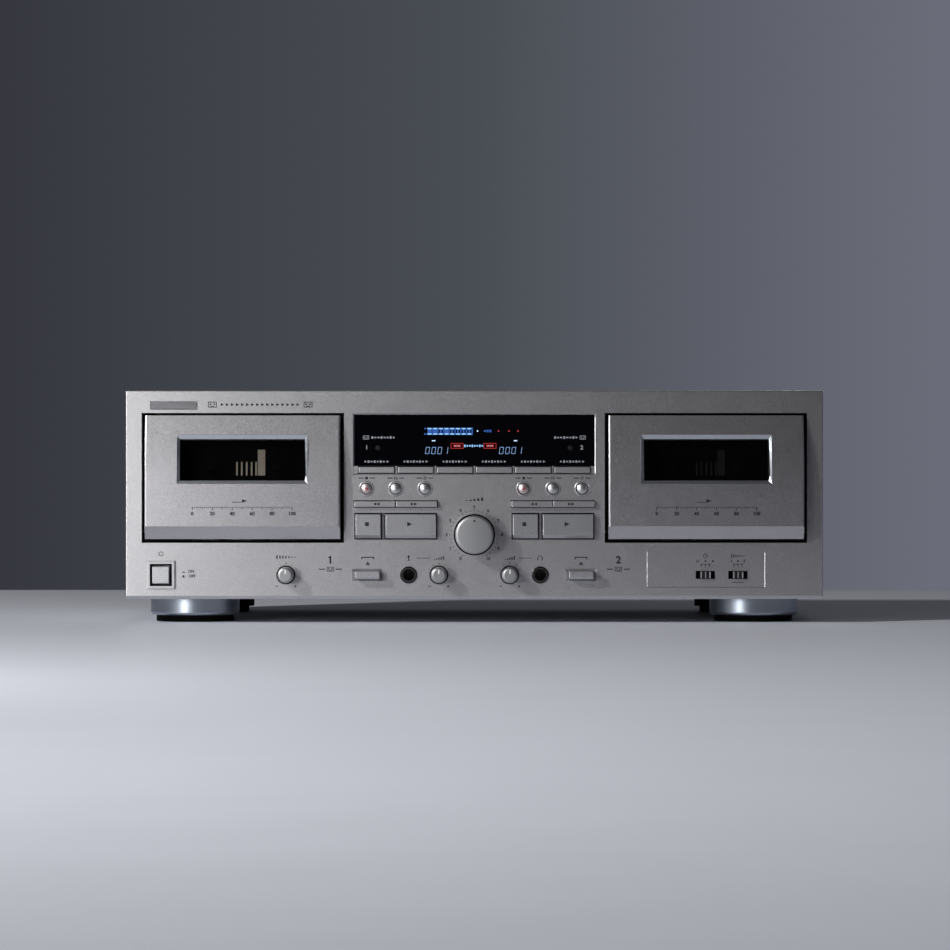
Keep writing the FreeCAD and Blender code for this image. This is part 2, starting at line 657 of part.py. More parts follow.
def panel_bars(panel):
    """The panel divided beside and above its door openings, so that no solid bends round one."""
    opening_top = DOOR_OPENING_BOTTOM + DOOR_OPENING_HEIGHT
    inner, outer = DECK_X - DOOR_OPENING_WIDTH / 2, DECK_X + DOOR_OPENING_WIDTH / 2
    depths = (-POWER_BEZEL_REACH - SKIN, PANEL_THICKNESS + SKIN)
    over_doors = block((-WIDTH, WIDTH), depths, (opening_top, PANEL_TOP + SKIN))
    between_doors = block((-inner, inner), depths, (0, opening_top))
    under_doors = block((-outer, outer), depths, (0, opening_top))
    rail, below = panel.common(over_doors), panel.cut(over_doors)
    middle, sides = below.common(between_doors), below.cut(between_doors)
    bars, stiles = sides.common(under_doors), sides.cut(under_doors)
    return Part.makeCompound(rail.Solids + middle.Solids + bars.Solids + stiles.Solids)


def front_panel():
    """The metal front with every opening, frame and ring."""
    bezel, mouth = power_bezel()
    raised = [bezel]
    cutters = [mouth] + display_cutters() + knob_cutters() + switch_cutters()
    for _, deck_x, cluster_x, eject_x, reset_x in DECKS:
        raised += [button_ring(cluster_x + offset) for offset in (-ROUND_PITCH, 0, ROUND_PITCH)]
        cutters += deck_cutters(deck_x, cluster_x, eject_x, reset_x)
    return panel_bars(panel_plate().fuse(raised).cut(cutters).removeSplitter())


def display_window():
    """The dark pane over the display, with a bore for each counter reset button."""
    pane = slab(0, DISPLAY_Z, DISPLAY_WIDTH - FIT, DISPLAY_HEIGHT - FIT, DISPLAY_RECESS, PANE_BACK)
    bores = [rod(x, RESET_Z, RESET_RADIUS + RESET_GAP, 0, PANEL_THICKNESS)
             for x in (-RESET_X, RESET_X)]
    return pane.cut(bores)


# ---- Case -----------------------------------------------------------------------------------
def side_screw_places():
    """Depth and height of the screws in each side of the cover."""
    return [(depth, FEET_HEIGHT + SIDE_SCREW_RISE) for depth in SIDE_SCREW_DEPTHS]


def side_screw_cutters():
    """Clearance holes for the side screws, through both sides of the case."""
    reach = COVER_HALF + SKIN
    return [Part.makeCylinder(SCREW_RADIUS + SCREW_HOLE_GAP, 2 * reach, at(-reach, depth, z),
                              FreeCAD.Vector(1, 0, 0)) for depth, z in side_screw_places()]


def rear_screw_z():
    """Height of the screws along the cover's rear lip."""
    return COVER_TOP - COVER_REAR_LIP / 2


def rear_screw_cutters():
    """Clearance holes for the rear screws, through the lip and the rear panel."""
    return [rod(x, rear_screw_z(), SCREW_RADIUS + SCREW_HOLE_GAP,
                REAR_INNER - SKIN, BODY_DEPTH + SHEET + SKIN) for x in REAR_SCREW_X]


def top_cover():
    """The folded steel cover: top, two sides and a lip down the back, with vent slots."""
    outer = block((-COVER_HALF, COVER_HALF), (PANEL_THICKNESS, BODY_DEPTH + SHEET),
                  (FLOOR_TOP, COVER_TOP))
    hollow = block((-TRAY_HALF, TRAY_HALF), (PANEL_THICKNESS - SKIN, BODY_DEPTH),
                   (FLOOR_TOP - SKIN, COVER_TOP - SHEET))
    tail = block((-COVER_HALF - SKIN, COVER_HALF + SKIN), (BODY_DEPTH, BODY_DEPTH + 2 * SHEET),
                 (FLOOR_TOP - SKIN, COVER_TOP - COVER_REAR_LIP))
    slots = []
    for side in (-1, 1):
        for index in range(VENT_COUNT):
            depth = VENT_DEPTH + index * VENT_PITCH
            slots.append(block((side * VENT_X - VENT_LENGTH / 2, side * VENT_X + VENT_LENGTH / 2),
                               (depth, depth + VENT_WIDTH), (COVER_TOP - 2 * SHEET, PANEL_TOP)))
    return outer.cut([hollow, tail] + slots + side_screw_cutters() + rear_screw_cutters())


def chassis_base():
    """The steel tray under everything, with upturned edges."""
    tray = block((-TRAY_HALF, TRAY_HALF), (PANEL_THICKNESS, REAR_INNER),
                 (FEET_HEIGHT, FLOOR_TOP + CHASSIS_SIDE_LIP))
    inside = (-TRAY_HALF + SHEET, TRAY_HALF - SHEET)
    hollow = block(inside, (PANEL_THICKNESS + SHEET, REAR_INNER - SHEET),
                   (FLOOR_TOP, PANEL_TOP))
    front_cut = block(inside, (PANEL_THICKNESS - SKIN, PANEL_THICKNESS + 2 * SHEET),
                      (FLOOR_TOP + CHASSIS_FRONT_LIP, PANEL_TOP))
    rear_cut = block(inside, (REAR_INNER - 2 * SHEET, REAR_INNER + SKIN),
                     (FLOOR_TOP + CHASSIS_REAR_LIP, PANEL_TOP))
    return tray.cut([hollow, front_cut, rear_cut] + side_screw_cutters())


def inlet_rect(margin=0.0):
    """The mains inlet's x, z, width and height, grown by a margin."""
    return (INLET_X, INLET_Z, INLET_WIDTH + 2 * margin, INLET_HEIGHT + 2 * margin)


def rear_panel():
    """The steel back with holes for the sockets, folded forward along its top."""
    half = TRAY_HALF - FIT
    top = COVER_TOP - SHEET
    plate = block((-half, half), (REAR_INNER, BODY_DEPTH), (FEET_HEIGHT, top))
    fold = block((-half, half), (REAR_INNER - REAR_TOP_FOLD, REAR_INNER), (top - SHEET, top))
    cutters = rear_screw_cutters()
    cutters.append(slab(*inlet_rect(FIT / 2), REAR_INNER - SKIN, BODY_DEPTH + SKIN))
    for x in SOCKET_X:
        for z in socket_heights():
            cutters.append(rod(x, z, SOCKET_NECK_RADIUS + FIT, REAR_INNER - SKIN,
                               BODY_DEPTH + SKIN))
    return plate.fuse(fold).cut(cutters)


def socket_heights():
    """The heights of the two sockets in one block."""
    return (SOCKET_Z - SOCKET_PITCH / 2, SOCKET_Z + SOCKET_PITCH / 2)


def screw(place, axis):
    """A pan-head cross-recess screw whose head sits at a place and points along an axis."""
    head = Part.makeCylinder(SCREW_HEAD_RADIUS, SCREW_HEAD_HEIGHT, place, axis)
    shank = Part.makeCylinder(SCREW_RADIUS, SCREW_LENGTH, place - axis * SCREW_LENGTH, axis)
    across = FreeCAD.Vector(0, 0, 1)
    other = across.cross(axis)
    long_side = SCREW_HEAD_RADIUS
    cutters = []
    for first, second in ((across, other), (other, across)):
        corner = place + axis * (SCREW_HEAD_HEIGHT - SCREW_CROSS_DEPTH)
        corner = corner - first * long_side / 2 - second * SCREW_CROSS_WIDTH / 2
        corners = [corner, corner + first * long_side,
                   corner + first * long_side + second * SCREW_CROSS_WIDTH,
                   corner + second * SCREW_CROSS_WIDTH]
        face = Part.Face(Part.makePolygon(corners + corners[:1]))
        cutters.append(face.extrude(axis * SCREW_HEAD_HEIGHT))
    return head.fuse(shank).cut(cutters)


def cover_screws():
    """The seven screws that hold the cover."""
    screws = []
    for side in (-1, 1):
        for depth, z in side_screw_places():
            screws.append(screw(at(side * COVER_HALF, depth, z), FreeCAD.Vector(side, 0, 0)))
    for x in REAR_SCREW_X:
        place = at(x, BODY_DEPTH + SHEET, rear_screw_z())
        screws.append(screw(place, FreeCAD.Vector(0, 1, 0)))
    return Part.makeCompound(screws)


def front_feet():
    """The two metal foot rings with a rounded lower rim."""
    feet = []
    for x in (-FOOT_X, FOOT_X):
        ring = pillar(x, FRONT_FOOT_DEPTH, FOOT_RADIUS, PAD_HEIGHT, FEET_HEIGHT)
        rim = [edge for edge in ring.Edges if edge.BoundBox.ZMax < PAD_HEIGHT + TOUCH]
        feet.append(ring.makeFillet(FOOT_EDGE_RADIUS, rim))
    return Part.makeCompound(feet)


def rubber_feet():
    """The pads under the metal rings and the two plain rear feet."""
    feet = []
    for x in (-FOOT_X, FOOT_X):
        feet.append(pillar(x, FRONT_FOOT_DEPTH, PAD_RADIUS, 0, PAD_HEIGHT))
        feet.append(pillar(x, REAR_FOOT_DEPTH, PAD_RADIUS, 0, PAD_HEIGHT)
                    .fuse(pillar(x, REAR_FOOT_DEPTH, FOOT_RADIUS, PAD_HEIGHT, FEET_HEIGHT)))
    return Part.makeCompound(feet)


# ---- Cassette door --------------------------------------------------------------------------
def door_profile(x, inset):
    """The door's side outline at x, drawn inwards by an inset: chin, flat and crowned top."""
    reach = inset - DOOR_REACH
    back = DOOR_BACK + (SKIN if inset else 0)
    low = DOOR_BOTTOM + inset
    top = DOOR_TOP - inset
    bend = DOOR_BOTTOM + DOOR_CHIN_HEIGHT
    crown = DOOR_BOTTOM + DOOR_FLAT_HEIGHT
    rise = top - crown
    fall = DOOR_REACH - DOOR_TOP_REACH
    radius = (rise ** 2 + fall ** 2) / (2 * fall)
    half_angle = math.asin(rise / radius) / 2
    middle = at(x, reach + radius * (1 - math.cos(half_angle)),
                crown + radius * math.sin(half_angle))
    corners = [at(x, reach + fall, top), at(x, back, top), at(x, back, low),
               at(x, inset - DOOR_FOOT_REACH, low), at(x, reach, bend), at(x, reach, crown)]
    edges = [Part.LineSegment(a, b).toShape() for a, b in zip(corners, corners[1:])]
    edges.append(Part.Arc(corners[-1], middle, corners[0]).toShape())
    return Part.Face(Part.Wire(edges))


def door_solid(deck_x, inset):
    """The door's outline drawn out to its width, less an inset on each side."""
    half = DOOR_WIDTH / 2 - inset
    return door_profile(deck_x - half, inset).extrude(FreeCAD.Vector(2 * half, 0, 0))


def window_mouth(deck_x, margin):
    """The tapering window passage, grown by a margin."""
    mouth_z = WINDOW_Z + WINDOW_MOUTH_RISE
    mouth = (deck_x, mouth_z, WINDOW_MOUTH_WIDTH + 2 * margin, WINDOW_MOUTH_HEIGHT + 2 * margin)
    inner = (deck_x, WINDOW_Z, WINDOW_WIDTH + 2 * margin, WINDOW_HEIGHT + 2 * margin)
    return funnel(mouth, inner, -DOOR_REACH, WINDOW_DEPTH), mouth, inner


def door_panel(deck_x):
    """The hollow crowned door with its window passage, pane seat and hinge pins."""
    outer = door_solid(deck_x, 0)
    side = deck_x - DOOR_WIDTH / 2, deck_x + DOOR_WIDTH / 2
    face_edges = [edge for edge in outer.Edges
                  if min(abs(edge.BoundBox.XMin - s) + abs(edge.BoundBox.XMax - s) for s in side)
                  < TOUCH and edge.BoundBox.YMax < PANEL_Y + DOOR_BACK - SKIN
                  and edge.BoundBox.ZMin > DOOR_BOTTOM + DOOR_CHIN_HEIGHT - SKIN]
    outer = outer.makeFillet(DOOR_EDGE_RADIUS, face_edges)
    passage, mouth, inner = window_mouth(deck_x, 0)
    passage_front = slab(*mouth, -DOOR_REACH - SKIN, -DOOR_REACH)
    sleeve = slab(mouth[0], mouth[1], mouth[2] + 2 * DOOR_WALL, mouth[3] + 2 * DOOR_WALL,
                  -DOOR_REACH, DOOR_BACK)
    hollow = door_solid(deck_x, DOOR_WALL).cut(sleeve)
    seat = slab(inner[0], inner[1], inner[2] + 2 * PANE_RIM, inner[3] + 2 * PANE_RIM,
                WINDOW_DEPTH, DOOR_BACK + SKIN)
    door = outer.cut([hollow, passage, passage_front, seat])
    pin_half = DOOR_OPENING_WIDTH / 2 + HINGE_PIN_LENGTH
    length = pin_half - DOOR_WIDTH / 2 + DOOR_WALL
    for start in (deck_x - pin_half, deck_x + pin_half - length):
        pin = Part.makeCylinder(HINGE_PIN_RADIUS, length, at(start, HINGE_DEPTH, HINGE_Z),
                                FreeCAD.Vector(1, 0, 0))
        door = door.fuse(pin)
    return door


def door_window(deck_x):
    """The smoked pane behind the door's window passage."""
    _, _, (x, z, width, height) = window_mouth(deck_x, 0)
    grow = 2 * PANE_RIM - FIT
    return slab(x, z, width + grow, height + grow, WINDOW_DEPTH, DOOR_BACK)


def cassette_holder(deck_x):
    """The carrier behind the door: a lining with a window, side channels and bottom ledges."""
    outer_half = POCKET_HALF + HOLDER_WALL
    lip_back = POCKET_BACK + HOLDER_SHEET
    lining_bottom = DOOR_BOTTOM + DOOR_WALL
    holder = block((deck_x - outer_half, deck_x + outer_half), (HOLDER_FRONT, POCKET_FRONT),
                   (lining_bottom, CASSETTE_TOP))
    window = slab(deck_x, WINDOW_Z, WINDOW_WIDTH, WINDOW_HEIGHT, HOLDER_FRONT - SKIN,
                  POCKET_FRONT + SKIN)
    pieces = []
    for side in (-1, 1):
        wall_inner, wall_outer = side * POCKET_HALF, side * outer_half
        lip_inner = side * (outer_half - HOLDER_WALL - HOLDER_LIP)
        ledge_inner = side * (POCKET_HALF - HOLDER_LEDGE)
        for inner, front, back, low, high in (
                (wall_inner, HOLDER_FRONT, lip_back, CASSETTE_BOTTOM - HOLDER_SHEET, CASSETTE_TOP),
                (lip_inner, POCKET_BACK, lip_back, CASSETTE_BOTTOM - HOLDER_SHEET, CASSETTE_TOP),
                (ledge_inner, HOLDER_FRONT, lip_back, CASSETTE_BOTTOM - HOLDER_SHEET,
                 CASSETTE_BOTTOM)):
            x_range = sorted((deck_x + inner, deck_x + wall_outer))
            pieces.append(block(x_range, (front, back), (low, high)))
    return holder.cut(window).fuse(pieces).removeSplitter()


# ---- Cassette transport ---------------------------------------------------------------------
def tray_plate(deck_x):
    """The plate at the back of the tray behind a door."""
    outer = WELL_HALF + WELL_WALL
    return block((deck_x - outer, deck_x + outer), (PLATE_DEPTH, PLATE_BACK),
                 (WELL_BOTTOM - WELL_WALL, WELL_TOP + WELL_WALL))


def tray_walls(deck_x):
    """The tray's four walls, from its plate to the panel, as separate flat strips."""
    outer = WELL_HALF + WELL_WALL
    depths = (PANEL_THICKNESS, PLATE_DEPTH)
    walls = [block((deck_x - outer, deck_x + outer), depths, (low, low + WELL_WALL))
             for low in (WELL_BOTTOM - WELL_WALL, WELL_TOP)]
    walls += [block((left, left + WELL_WALL), depths, (WELL_BOTTOM, WELL_TOP))
              for left in (deck_x - outer, deck_x + WELL_HALF)]
    return walls


def hub_places(deck_x):
    """The middles of the supply and take-up spindles."""
    return (deck_x - HUB_SPACING / 2, deck_x + HUB_SPACING / 2)


def capstan_x(deck_x):
    """The middle of the capstan."""
    return deck_x + CAPSTAN_X


def bearings(deck_x):
    """Middle, shaft radius, outer radius and length of each bearing behind the plate."""
    places = [(x, HUB_Z, SPINDLE_SHAFT_RADIUS, SPINDLE_BOSS_RADIUS, SPINDLE_BOSS_LENGTH)
              for x in hub_places(deck_x)]
    return places + [(capstan_x(deck_x), CAPSTAN_Z, CAPSTAN_RADIUS, CAPSTAN_BOSS_RADIUS,
                      CAPSTAN_BOSS_LENGTH)]


def guide_stud(x):
    """A headed stud on which the head bridge slides."""
    head_back = BRIDGE_FRONT - FIT
    head = rod(x, STUD_Z, STUD_HEAD_RADIUS, head_back - STUD_HEAD_THICKNESS, head_back)
    return head.fuse(rod(x, STUD_Z, STUD_RADIUS, head_back, PLATE_DEPTH))


def deck_mechanism(deck_x):
    """The fixed part of one transport: tray, bearings, studs, lamp guide, bracket and motor."""
    plate = tray_plate(deck_x)
    solids = tray_walls(deck_x)
    for x, z, shaft_radius, outer_radius, length in bearings(deck_x):
        bore = rod(x, z, shaft_radius + SHAFT_FIT, PLATE_DEPTH - SKIN, PLATE_DEPTH + length + SKIN)
        plate = plate.cut(bore)
        solids.append(rod(x, z, outer_radius, PLATE_BACK, PLATE_DEPTH + length).cut(bore))
    solids += [guide_stud(deck_x + offset) for offset in (-STUD_X, STUD_X)]
    solids += light_guide(deck_x)
    solids += motor_and_bracket(capstan_x(deck_x))
    return Part.makeCompound([plate] + solids)


def light_guide(deck_x):
    """The ribbed lamp guide between the spindles."""
    low = HUB_Z - LIGHT_BELOW_HUB
    front = PLATE_DEPTH - LIGHT_REACH
    pieces = [slab(deck_x + x, low + LIGHT_RIB_HEIGHT / 2, LIGHT_RIB_WIDTH, LIGHT_RIB_HEIGHT,
                   front, PLATE_DEPTH) for x in LIGHT_RIB_X]
    pieces.append(slab(deck_x + LIGHT_BLOCK_X, low + LIGHT_BLOCK_HEIGHT / 2, LIGHT_BLOCK_WIDTH,
                       LIGHT_BLOCK_HEIGHT, front, PLATE_DEPTH))
    return pieces


def motor_and_bracket(axis_x):
    """The bracket behind the flywheel and the motor that it carries."""
    bracket_back = BRACKET_FRONT + BRACKET_THICKNESS
    bracket = slab(axis_x, CAPSTAN_Z, 2 * BRACKET_HALF, BRACKET_HEIGHT, BRACKET_FRONT, bracket_back)
    legs = [slab(axis_x + side * (BRACKET_HALF - BRACKET_LEG / 2), CAPSTAN_Z, BRACKET_LEG,
                 BRACKET_HEIGHT, PLATE_BACK, bracket_back) for side in (-1, 1)]
    can = rod(axis_x, CAPSTAN_Z, MOTOR_RADIUS, bracket_back, bracket_back + MOTOR_LENGTH)
    can = softened(can, bracket_back + MOTOR_LENGTH, MOTOR_EDGE_RADIUS)
    return [bracket.fuse(legs).removeSplitter(), can]


def reel_spindle(x):
    """A splined spindle on its reel table, with the shaft and retaining clip behind."""
    table_back = PLATE_DEPTH - FIT
    table_front = table_back - REEL_TABLE_THICKNESS
    nose = table_front - SPINDLE_REACH
    clip_front = PLATE_DEPTH + SPINDLE_BOSS_LENGTH + CLIP_GAP
    clip_back = clip_front + CLIP_THICKNESS
    body = turned(x, HUB_Z, ((0, nose), (SPINDLE_RADIUS / 2, nose),
                             (SPINDLE_RADIUS, nose + SPINDLE_NOSE), (SPINDLE_RADIUS, table_front),
                             (REEL_TABLE_RADIUS, table_front), (REEL_TABLE_RADIUS, table_back),
                             (SPINDLE_SHAFT_RADIUS, table_back),
                             (SPINDLE_SHAFT_RADIUS, clip_front), (CLIP_RADIUS, clip_front),
                             (CLIP_RADIUS, clip_back), (0, clip_back)))
    fins = []
    for index in range(SPINDLE_FINS):
        fin = block((x, x + SPINDLE_FIN_RADIUS), (nose + SPINDLE_NOSE, table_front),
                    (HUB_Z - SPINDLE_FIN_WIDTH / 2, HUB_Z + SPINDLE_FIN_WIDTH / 2))
        fin.rotate(at(x, 0, HUB_Z), FreeCAD.Vector(0, 1, 0), 90 + index * 360 / SPINDLE_FINS)
        fins.append(fin)
    return body.fuse(fins)


def capstan_flywheel(axis_x):
    """The polished capstan pressed into its flywheel."""
    shaft_end = BRACKET_FRONT - THRUST_GAP
    front = PLATE_DEPTH - CAPSTAN_REACH
    rim_inner = FLYWHEEL_RADIUS - FLYWHEEL_RIM
    dish = FLYWHEEL_BACK - FLYWHEEL_DISH
    return turned(axis_x, CAPSTAN_Z,
                  ((0, front), (CAPSTAN_RADIUS, front), (CAPSTAN_RADIUS, FLYWHEEL_FRONT),
                   (FLYWHEEL_RADIUS, FLYWHEEL_FRONT), (FLYWHEEL_RADIUS, FLYWHEEL_BACK),
                   (rim_inner, FLYWHEEL_BACK), (rim_inner, dish), (FLYWHEEL_HUB_RADIUS, dish),
                   (FLYWHEEL_HUB_RADIUS, FLYWHEEL_BACK), (CAPSTAN_RADIUS, FLYWHEEL_BACK),
                   (CAPSTAN_RADIUS, shaft_end), (0, shaft_end)))


def head_bridge(deck_x):
    """The sliding head bridge with both heads and its pinch roller."""
    plate = block((deck_x - BRIDGE_WIDTH / 2, deck_x + BRIDGE_WIDTH / 2),
                  (BRIDGE_FRONT, BRIDGE_BACK), (BRIDGE_TOP - BRIDGE_HEIGHT, BRIDGE_TOP))
    slots = []
    for offset in (-STUD_X, STUD_X):
        radius = STUD_RADIUS + SHAFT_FIT
        x = deck_x + offset
        slots.append(slab(x, STUD_Z - BRIDGE_TRAVEL / 2, 2 * radius, BRIDGE_TRAVEL + 2 * FIT,
                          BRIDGE_FRONT - SKIN, BRIDGE_BACK + SKIN))
        for z in (STUD_Z + FIT, STUD_Z - BRIDGE_TRAVEL - FIT):
            slots.append(rod(x, z, radius, BRIDGE_FRONT - SKIN, BRIDGE_BACK + SKIN))
    head_top = CASSETTE_BOTTOM - HEAD_BELOW_CASSETTE
    pieces = []
    for offset, width in ((0, HEAD_WIDTH), (ERASE_HEAD_X, ERASE_HEAD_WIDTH)):
        head = block((deck_x + offset - width / 2, deck_x + offset + width / 2),
                     (BRIDGE_FRONT - HEAD_LENGTH, BRIDGE_FRONT),
                     (head_top - HEAD_HEIGHT, head_top))
        pieces.append(head)
    axle_x = capstan_x(deck_x)
    pieces.append(rod(axle_x, PINCH_Z, PINCH_AXLE_RADIUS, BRIDGE_FRONT - PINCH_AXLE_LENGTH,
                      BRIDGE_FRONT))
    boss_front = BRIDGE_FRONT - (PINCH_AXLE_LENGTH - PINCH_LENGTH) / 2
    pieces.append(rod(axle_x, PINCH_Z, 2 * PINCH_AXLE_RADIUS, boss_front, BRIDGE_FRONT))
    pieces.append(slab(axle_x, PINCH_Z - PINCH_RADIUS / 2, PINCH_RADIUS, PINCH_RADIUS,
                       boss_front, BRIDGE_FRONT))
    roller_back = boss_front - FIT
    roller = rod(axle_x, PINCH_Z, PINCH_RADIUS, roller_back - PINCH_LENGTH, roller_back)
    roller = roller.cut(rod(axle_x, PINCH_Z, PINCH_AXLE_RADIUS + SHAFT_FIT,
                            roller_back - PINCH_LENGTH - SKIN, roller_back + SKIN))
    return Part.makeCompound([plate.cut(slots).fuse(pieces), roller])


# ---- Keys, buttons and knobs ----------------------------------------------------------------
def key_tail(x, z, width, height, stem_end):
    """The flange behind the panel and the stem towards the switch."""
    flange = slab(x, z, width, height + 2 * KEY_FLANGE_RIM, KEY_FLANGE_FRONT, KEY_FLANGE_BACK)
    return [flange, slab(x, z, KEY_STEM, KEY_STEM, KEY_FLANGE_BACK, stem_end)]


def flat_key(x, z, width, height, reach, travel, bevel=0.0):
    """A rectangular key, with an optional slanted foot."""
    cap = slab(x, z, width, height, -reach, KEY_FLANGE_FRONT)
    if bevel:
        cap = bevelled_foot(cap, x, z, width, height, reach, bevel)
    cap = softened(cap, -reach, KEY_EDGE)
    return cap.fuse(key_tail(x, z, width, height, SWITCH_FRONT - travel - SWITCH_GAP))


def round_button(x):
    """A round button with a domed face."""
    flange_radius = ROUND_RADIUS + ROUND_GAP + KEY_FLANGE_RIM
    dome_radius = (ROUND_RADIUS ** 2 + ROUND_DOME ** 2) / (2 * ROUND_DOME)
    half_angle = math.asin(ROUND_RADIUS / dome_radius) / 2
    middle = at(x + dome_radius * math.sin(half_angle),
                dome_radius * (1 - math.cos(half_angle)) - ROUND_REACH, ROUND_Z)
    corners = [at(x + radius, depth, ROUND_Z) for radius, depth in
               ((ROUND_RADIUS, ROUND_DOME - ROUND_REACH), (ROUND_RADIUS, KEY_FLANGE_FRONT),
                (flange_radius, KEY_FLANGE_FRONT), (flange_radius, KEY_FLANGE_BACK),
                (0, KEY_FLANGE_BACK), (0, -ROUND_REACH))]
    edges = [Part.LineSegment(a, b).toShape() for a, b in zip(corners, corners[1:])]
    edges.append(Part.Arc(corners[-1], middle, corners[0]).toShape())
    face = Part.Face(Part.Wire(edges))
    cap = face.revolve(at(x, 0, ROUND_Z), FreeCAD.Vector(0, 1, 0), 360)
    stem = slab(x, ROUND_Z, KEY_STEM, KEY_STEM, KEY_FLANGE_BACK,
                SWITCH_FRONT - KEY_TRAVEL - SWITCH_GAP)
    return cap.fuse(stem)


def eject_button(x):
    """The long eject key with a slanted foot."""
    cap = slab(x, CONTROL_Z, EJECT_WIDTH, EJECT_HEIGHT, -EJECT_REACH, KEY_FLANGE_FRONT)
    cap = bevelled_foot(cap, x, CONTROL_Z, EJECT_WIDTH, EJECT_HEIGHT, EJECT_REACH, EJECT_CHAMFER)
    cap = softened(cap, -EJECT_REACH, KEY_EDGE)
    return cap.fuse(key_tail(x, CONTROL_Z, EJECT_FRAME_WIDTH, EJECT_HEIGHT, EJECT_STEM_END))


def power_button():
    """The square power key."""
    cap = slab(-POWER_X, CONTROL_Z, POWER_SIZE, POWER_SIZE, -POWER_REACH, KEY_FLANGE_FRONT)
    cap = softened(cap, -POWER_REACH, KEY_EDGE)
    stem_end = SWITCH_FRONT - POWER_TRAVEL - SWITCH_GAP
    return cap.fuse(key_tail(-POWER_X, CONTROL_Z, POWER_BEZEL_OPENING, POWER_SIZE, stem_end))


def counter_reset_button(x):
    """The small round button in the display pane, kept by a collar behind it."""
    front = DISPLAY_RECESS - RESET_REACH
    pin = rod(x, RESET_Z, RESET_RADIUS, front, SWITCH_FRONT - KEY_TRAVEL - SWITCH_GAP)
    collar = rod(x, RESET_Z, RESET_COLLAR_RADIUS, PANE_BACK + FIT,
                 PANE_BACK + FIT + RESET_COLLAR_THICKNESS)
    return softened(pin, front, KEY_EDGE).fuse(collar)


def slide_button(x):
    """A slider with ribs across its face and a stem into its switch."""
    cap = slab(x, CONTROL_Z, SLIDER_WIDTH, SLIDER_HEIGHT, -SLIDER_REACH, SLIDER_CAP_BACK)
    cap = softened(cap, -SLIDER_REACH, KEY_EDGE / 2)
    grooves = [slab(x + offset * 2 * SLIDER_RIB, CONTROL_Z, SLIDER_RIB, SLIDER_HEIGHT + SKIN,
                    -SLIDER_REACH - SKIN, -SLIDER_REACH + SLIDER_RIB) for offset in (-2, -1, 1, 2)]
    stem = slab(x, CONTROL_Z, SLIDER_STEM_WIDTH, SLIDER_STEM_HEIGHT, SLIDER_CAP_BACK,
                SLIDER_STEM_END)
    return cap.cut(grooves).fuse(stem)


def rec_level_knob():
    """The large knob: rounded rim, dished face, an index dot and its shaft."""
    back = KNOB_WELL_DEPTH - KNOB_LIFT
    body = rod(0, REC_KNOB_Z, REC_KNOB_RADIUS, -REC_KNOB_REACH, back)
    body = softened(body, -REC_KNOB_REACH, REC_KNOB_EDGE)
    face_radius = REC_KNOB_RADIUS - REC_KNOB_EDGE
    dish = turned(0, REC_KNOB_Z, ((0, -REC_KNOB_REACH - SKIN), (face_radius, -REC_KNOB_REACH - SKIN),
                                  (face_radius, -REC_KNOB_REACH),
                                  (face_radius - REC_KNOB_RIM / 2, -REC_KNOB_REACH + REC_KNOB_DISH),
                                  (0, -REC_KNOB_REACH + REC_KNOB_DISH)))
    dot = rod(0, REC_KNOB_Z + REC_KNOB_DOT_AT, REC_KNOB_DOT_RADIUS, -REC_KNOB_REACH,
              -REC_KNOB_REACH + 2 * REC_KNOB_DISH)
    shaft = rod(0, REC_KNOB_Z, KNOB_SHAFT_RADIUS, back, KNOB_SHAFT_END)
    return body.cut([dish, dot]).fuse(shaft)


def small_knob(x):
    """A small knob with a skirt, a rounded face, a pointer groove and its shaft."""
    back = KNOB_WELL_DEPTH - KNOB_LIFT
    body = rod(x, CONTROL_Z, SMALL_KNOB_RADIUS, -SMALL_KNOB_REACH, back)
    body = softened(body, -SMALL_KNOB_REACH, SMALL_KNOB_EDGE)
    skirt = rod(x, CONTROL_Z, SMALL_KNOB_SKIRT_RADIUS, -SMALL_KNOB_SKIRT, back)
    groove = block((x - SMALL_KNOB_POINTER / 2, x + SMALL_KNOB_POINTER / 2),
                   (-SMALL_KNOB_REACH - SKIN, -SMALL_KNOB_REACH + SMALL_KNOB_POINTER / 2),
                   (CONTROL_Z + SMALL_KNOB_RADIUS / 3, CONTROL_Z + SMALL_KNOB_RADIUS + SKIN))
    shaft = rod(x, CONTROL_Z, KNOB_SHAFT_RADIUS, back, KNOB_SHAFT_END)
    return body.fuse(skirt).cut(groove).fuse(shaft)


# ---- Electrics ------------------------------------------------------------------------------
def switch_body(x, z):
    """A push switch on the control board."""
    return slab(x, z, SWITCH_SIZE, SWITCH_SIZE, SWITCH_FRONT, BOARD_DEPTH)


def pot_body(x, z, size):
    """A rotary control on the board, bored for the knob's shaft."""
    body = slab(x, z, size, size, POT_FRONT, BOARD_DEPTH)
    return body.cut(rod(x, z, KNOB_SHAFT_RADIUS + SHAFT_FIT, POT_FRONT - SKIN,
                        KNOB_SHAFT_END + FIT))


def slide_switch_body(x):
    """A slide switch with room for the slider's stem and its throw."""
    body = slab(x, CONTROL_Z, SLIDE_SWITCH_LENGTH, SLIDE_SWITCH_HEIGHT, SLIDE_SWITCH_FRONT,
                BOARD_DEPTH)
    room = slab(x, CONTROL_Z, SLIDER_STEM_WIDTH + 2 * (SLIDER_THROW + FIT),
                SLIDER_STEM_HEIGHT + 2 * KEY_GAP, SLIDE_SWITCH_FRONT - SKIN,
                SLIDER_STEM_END + FIT)
    return body.cut(room)


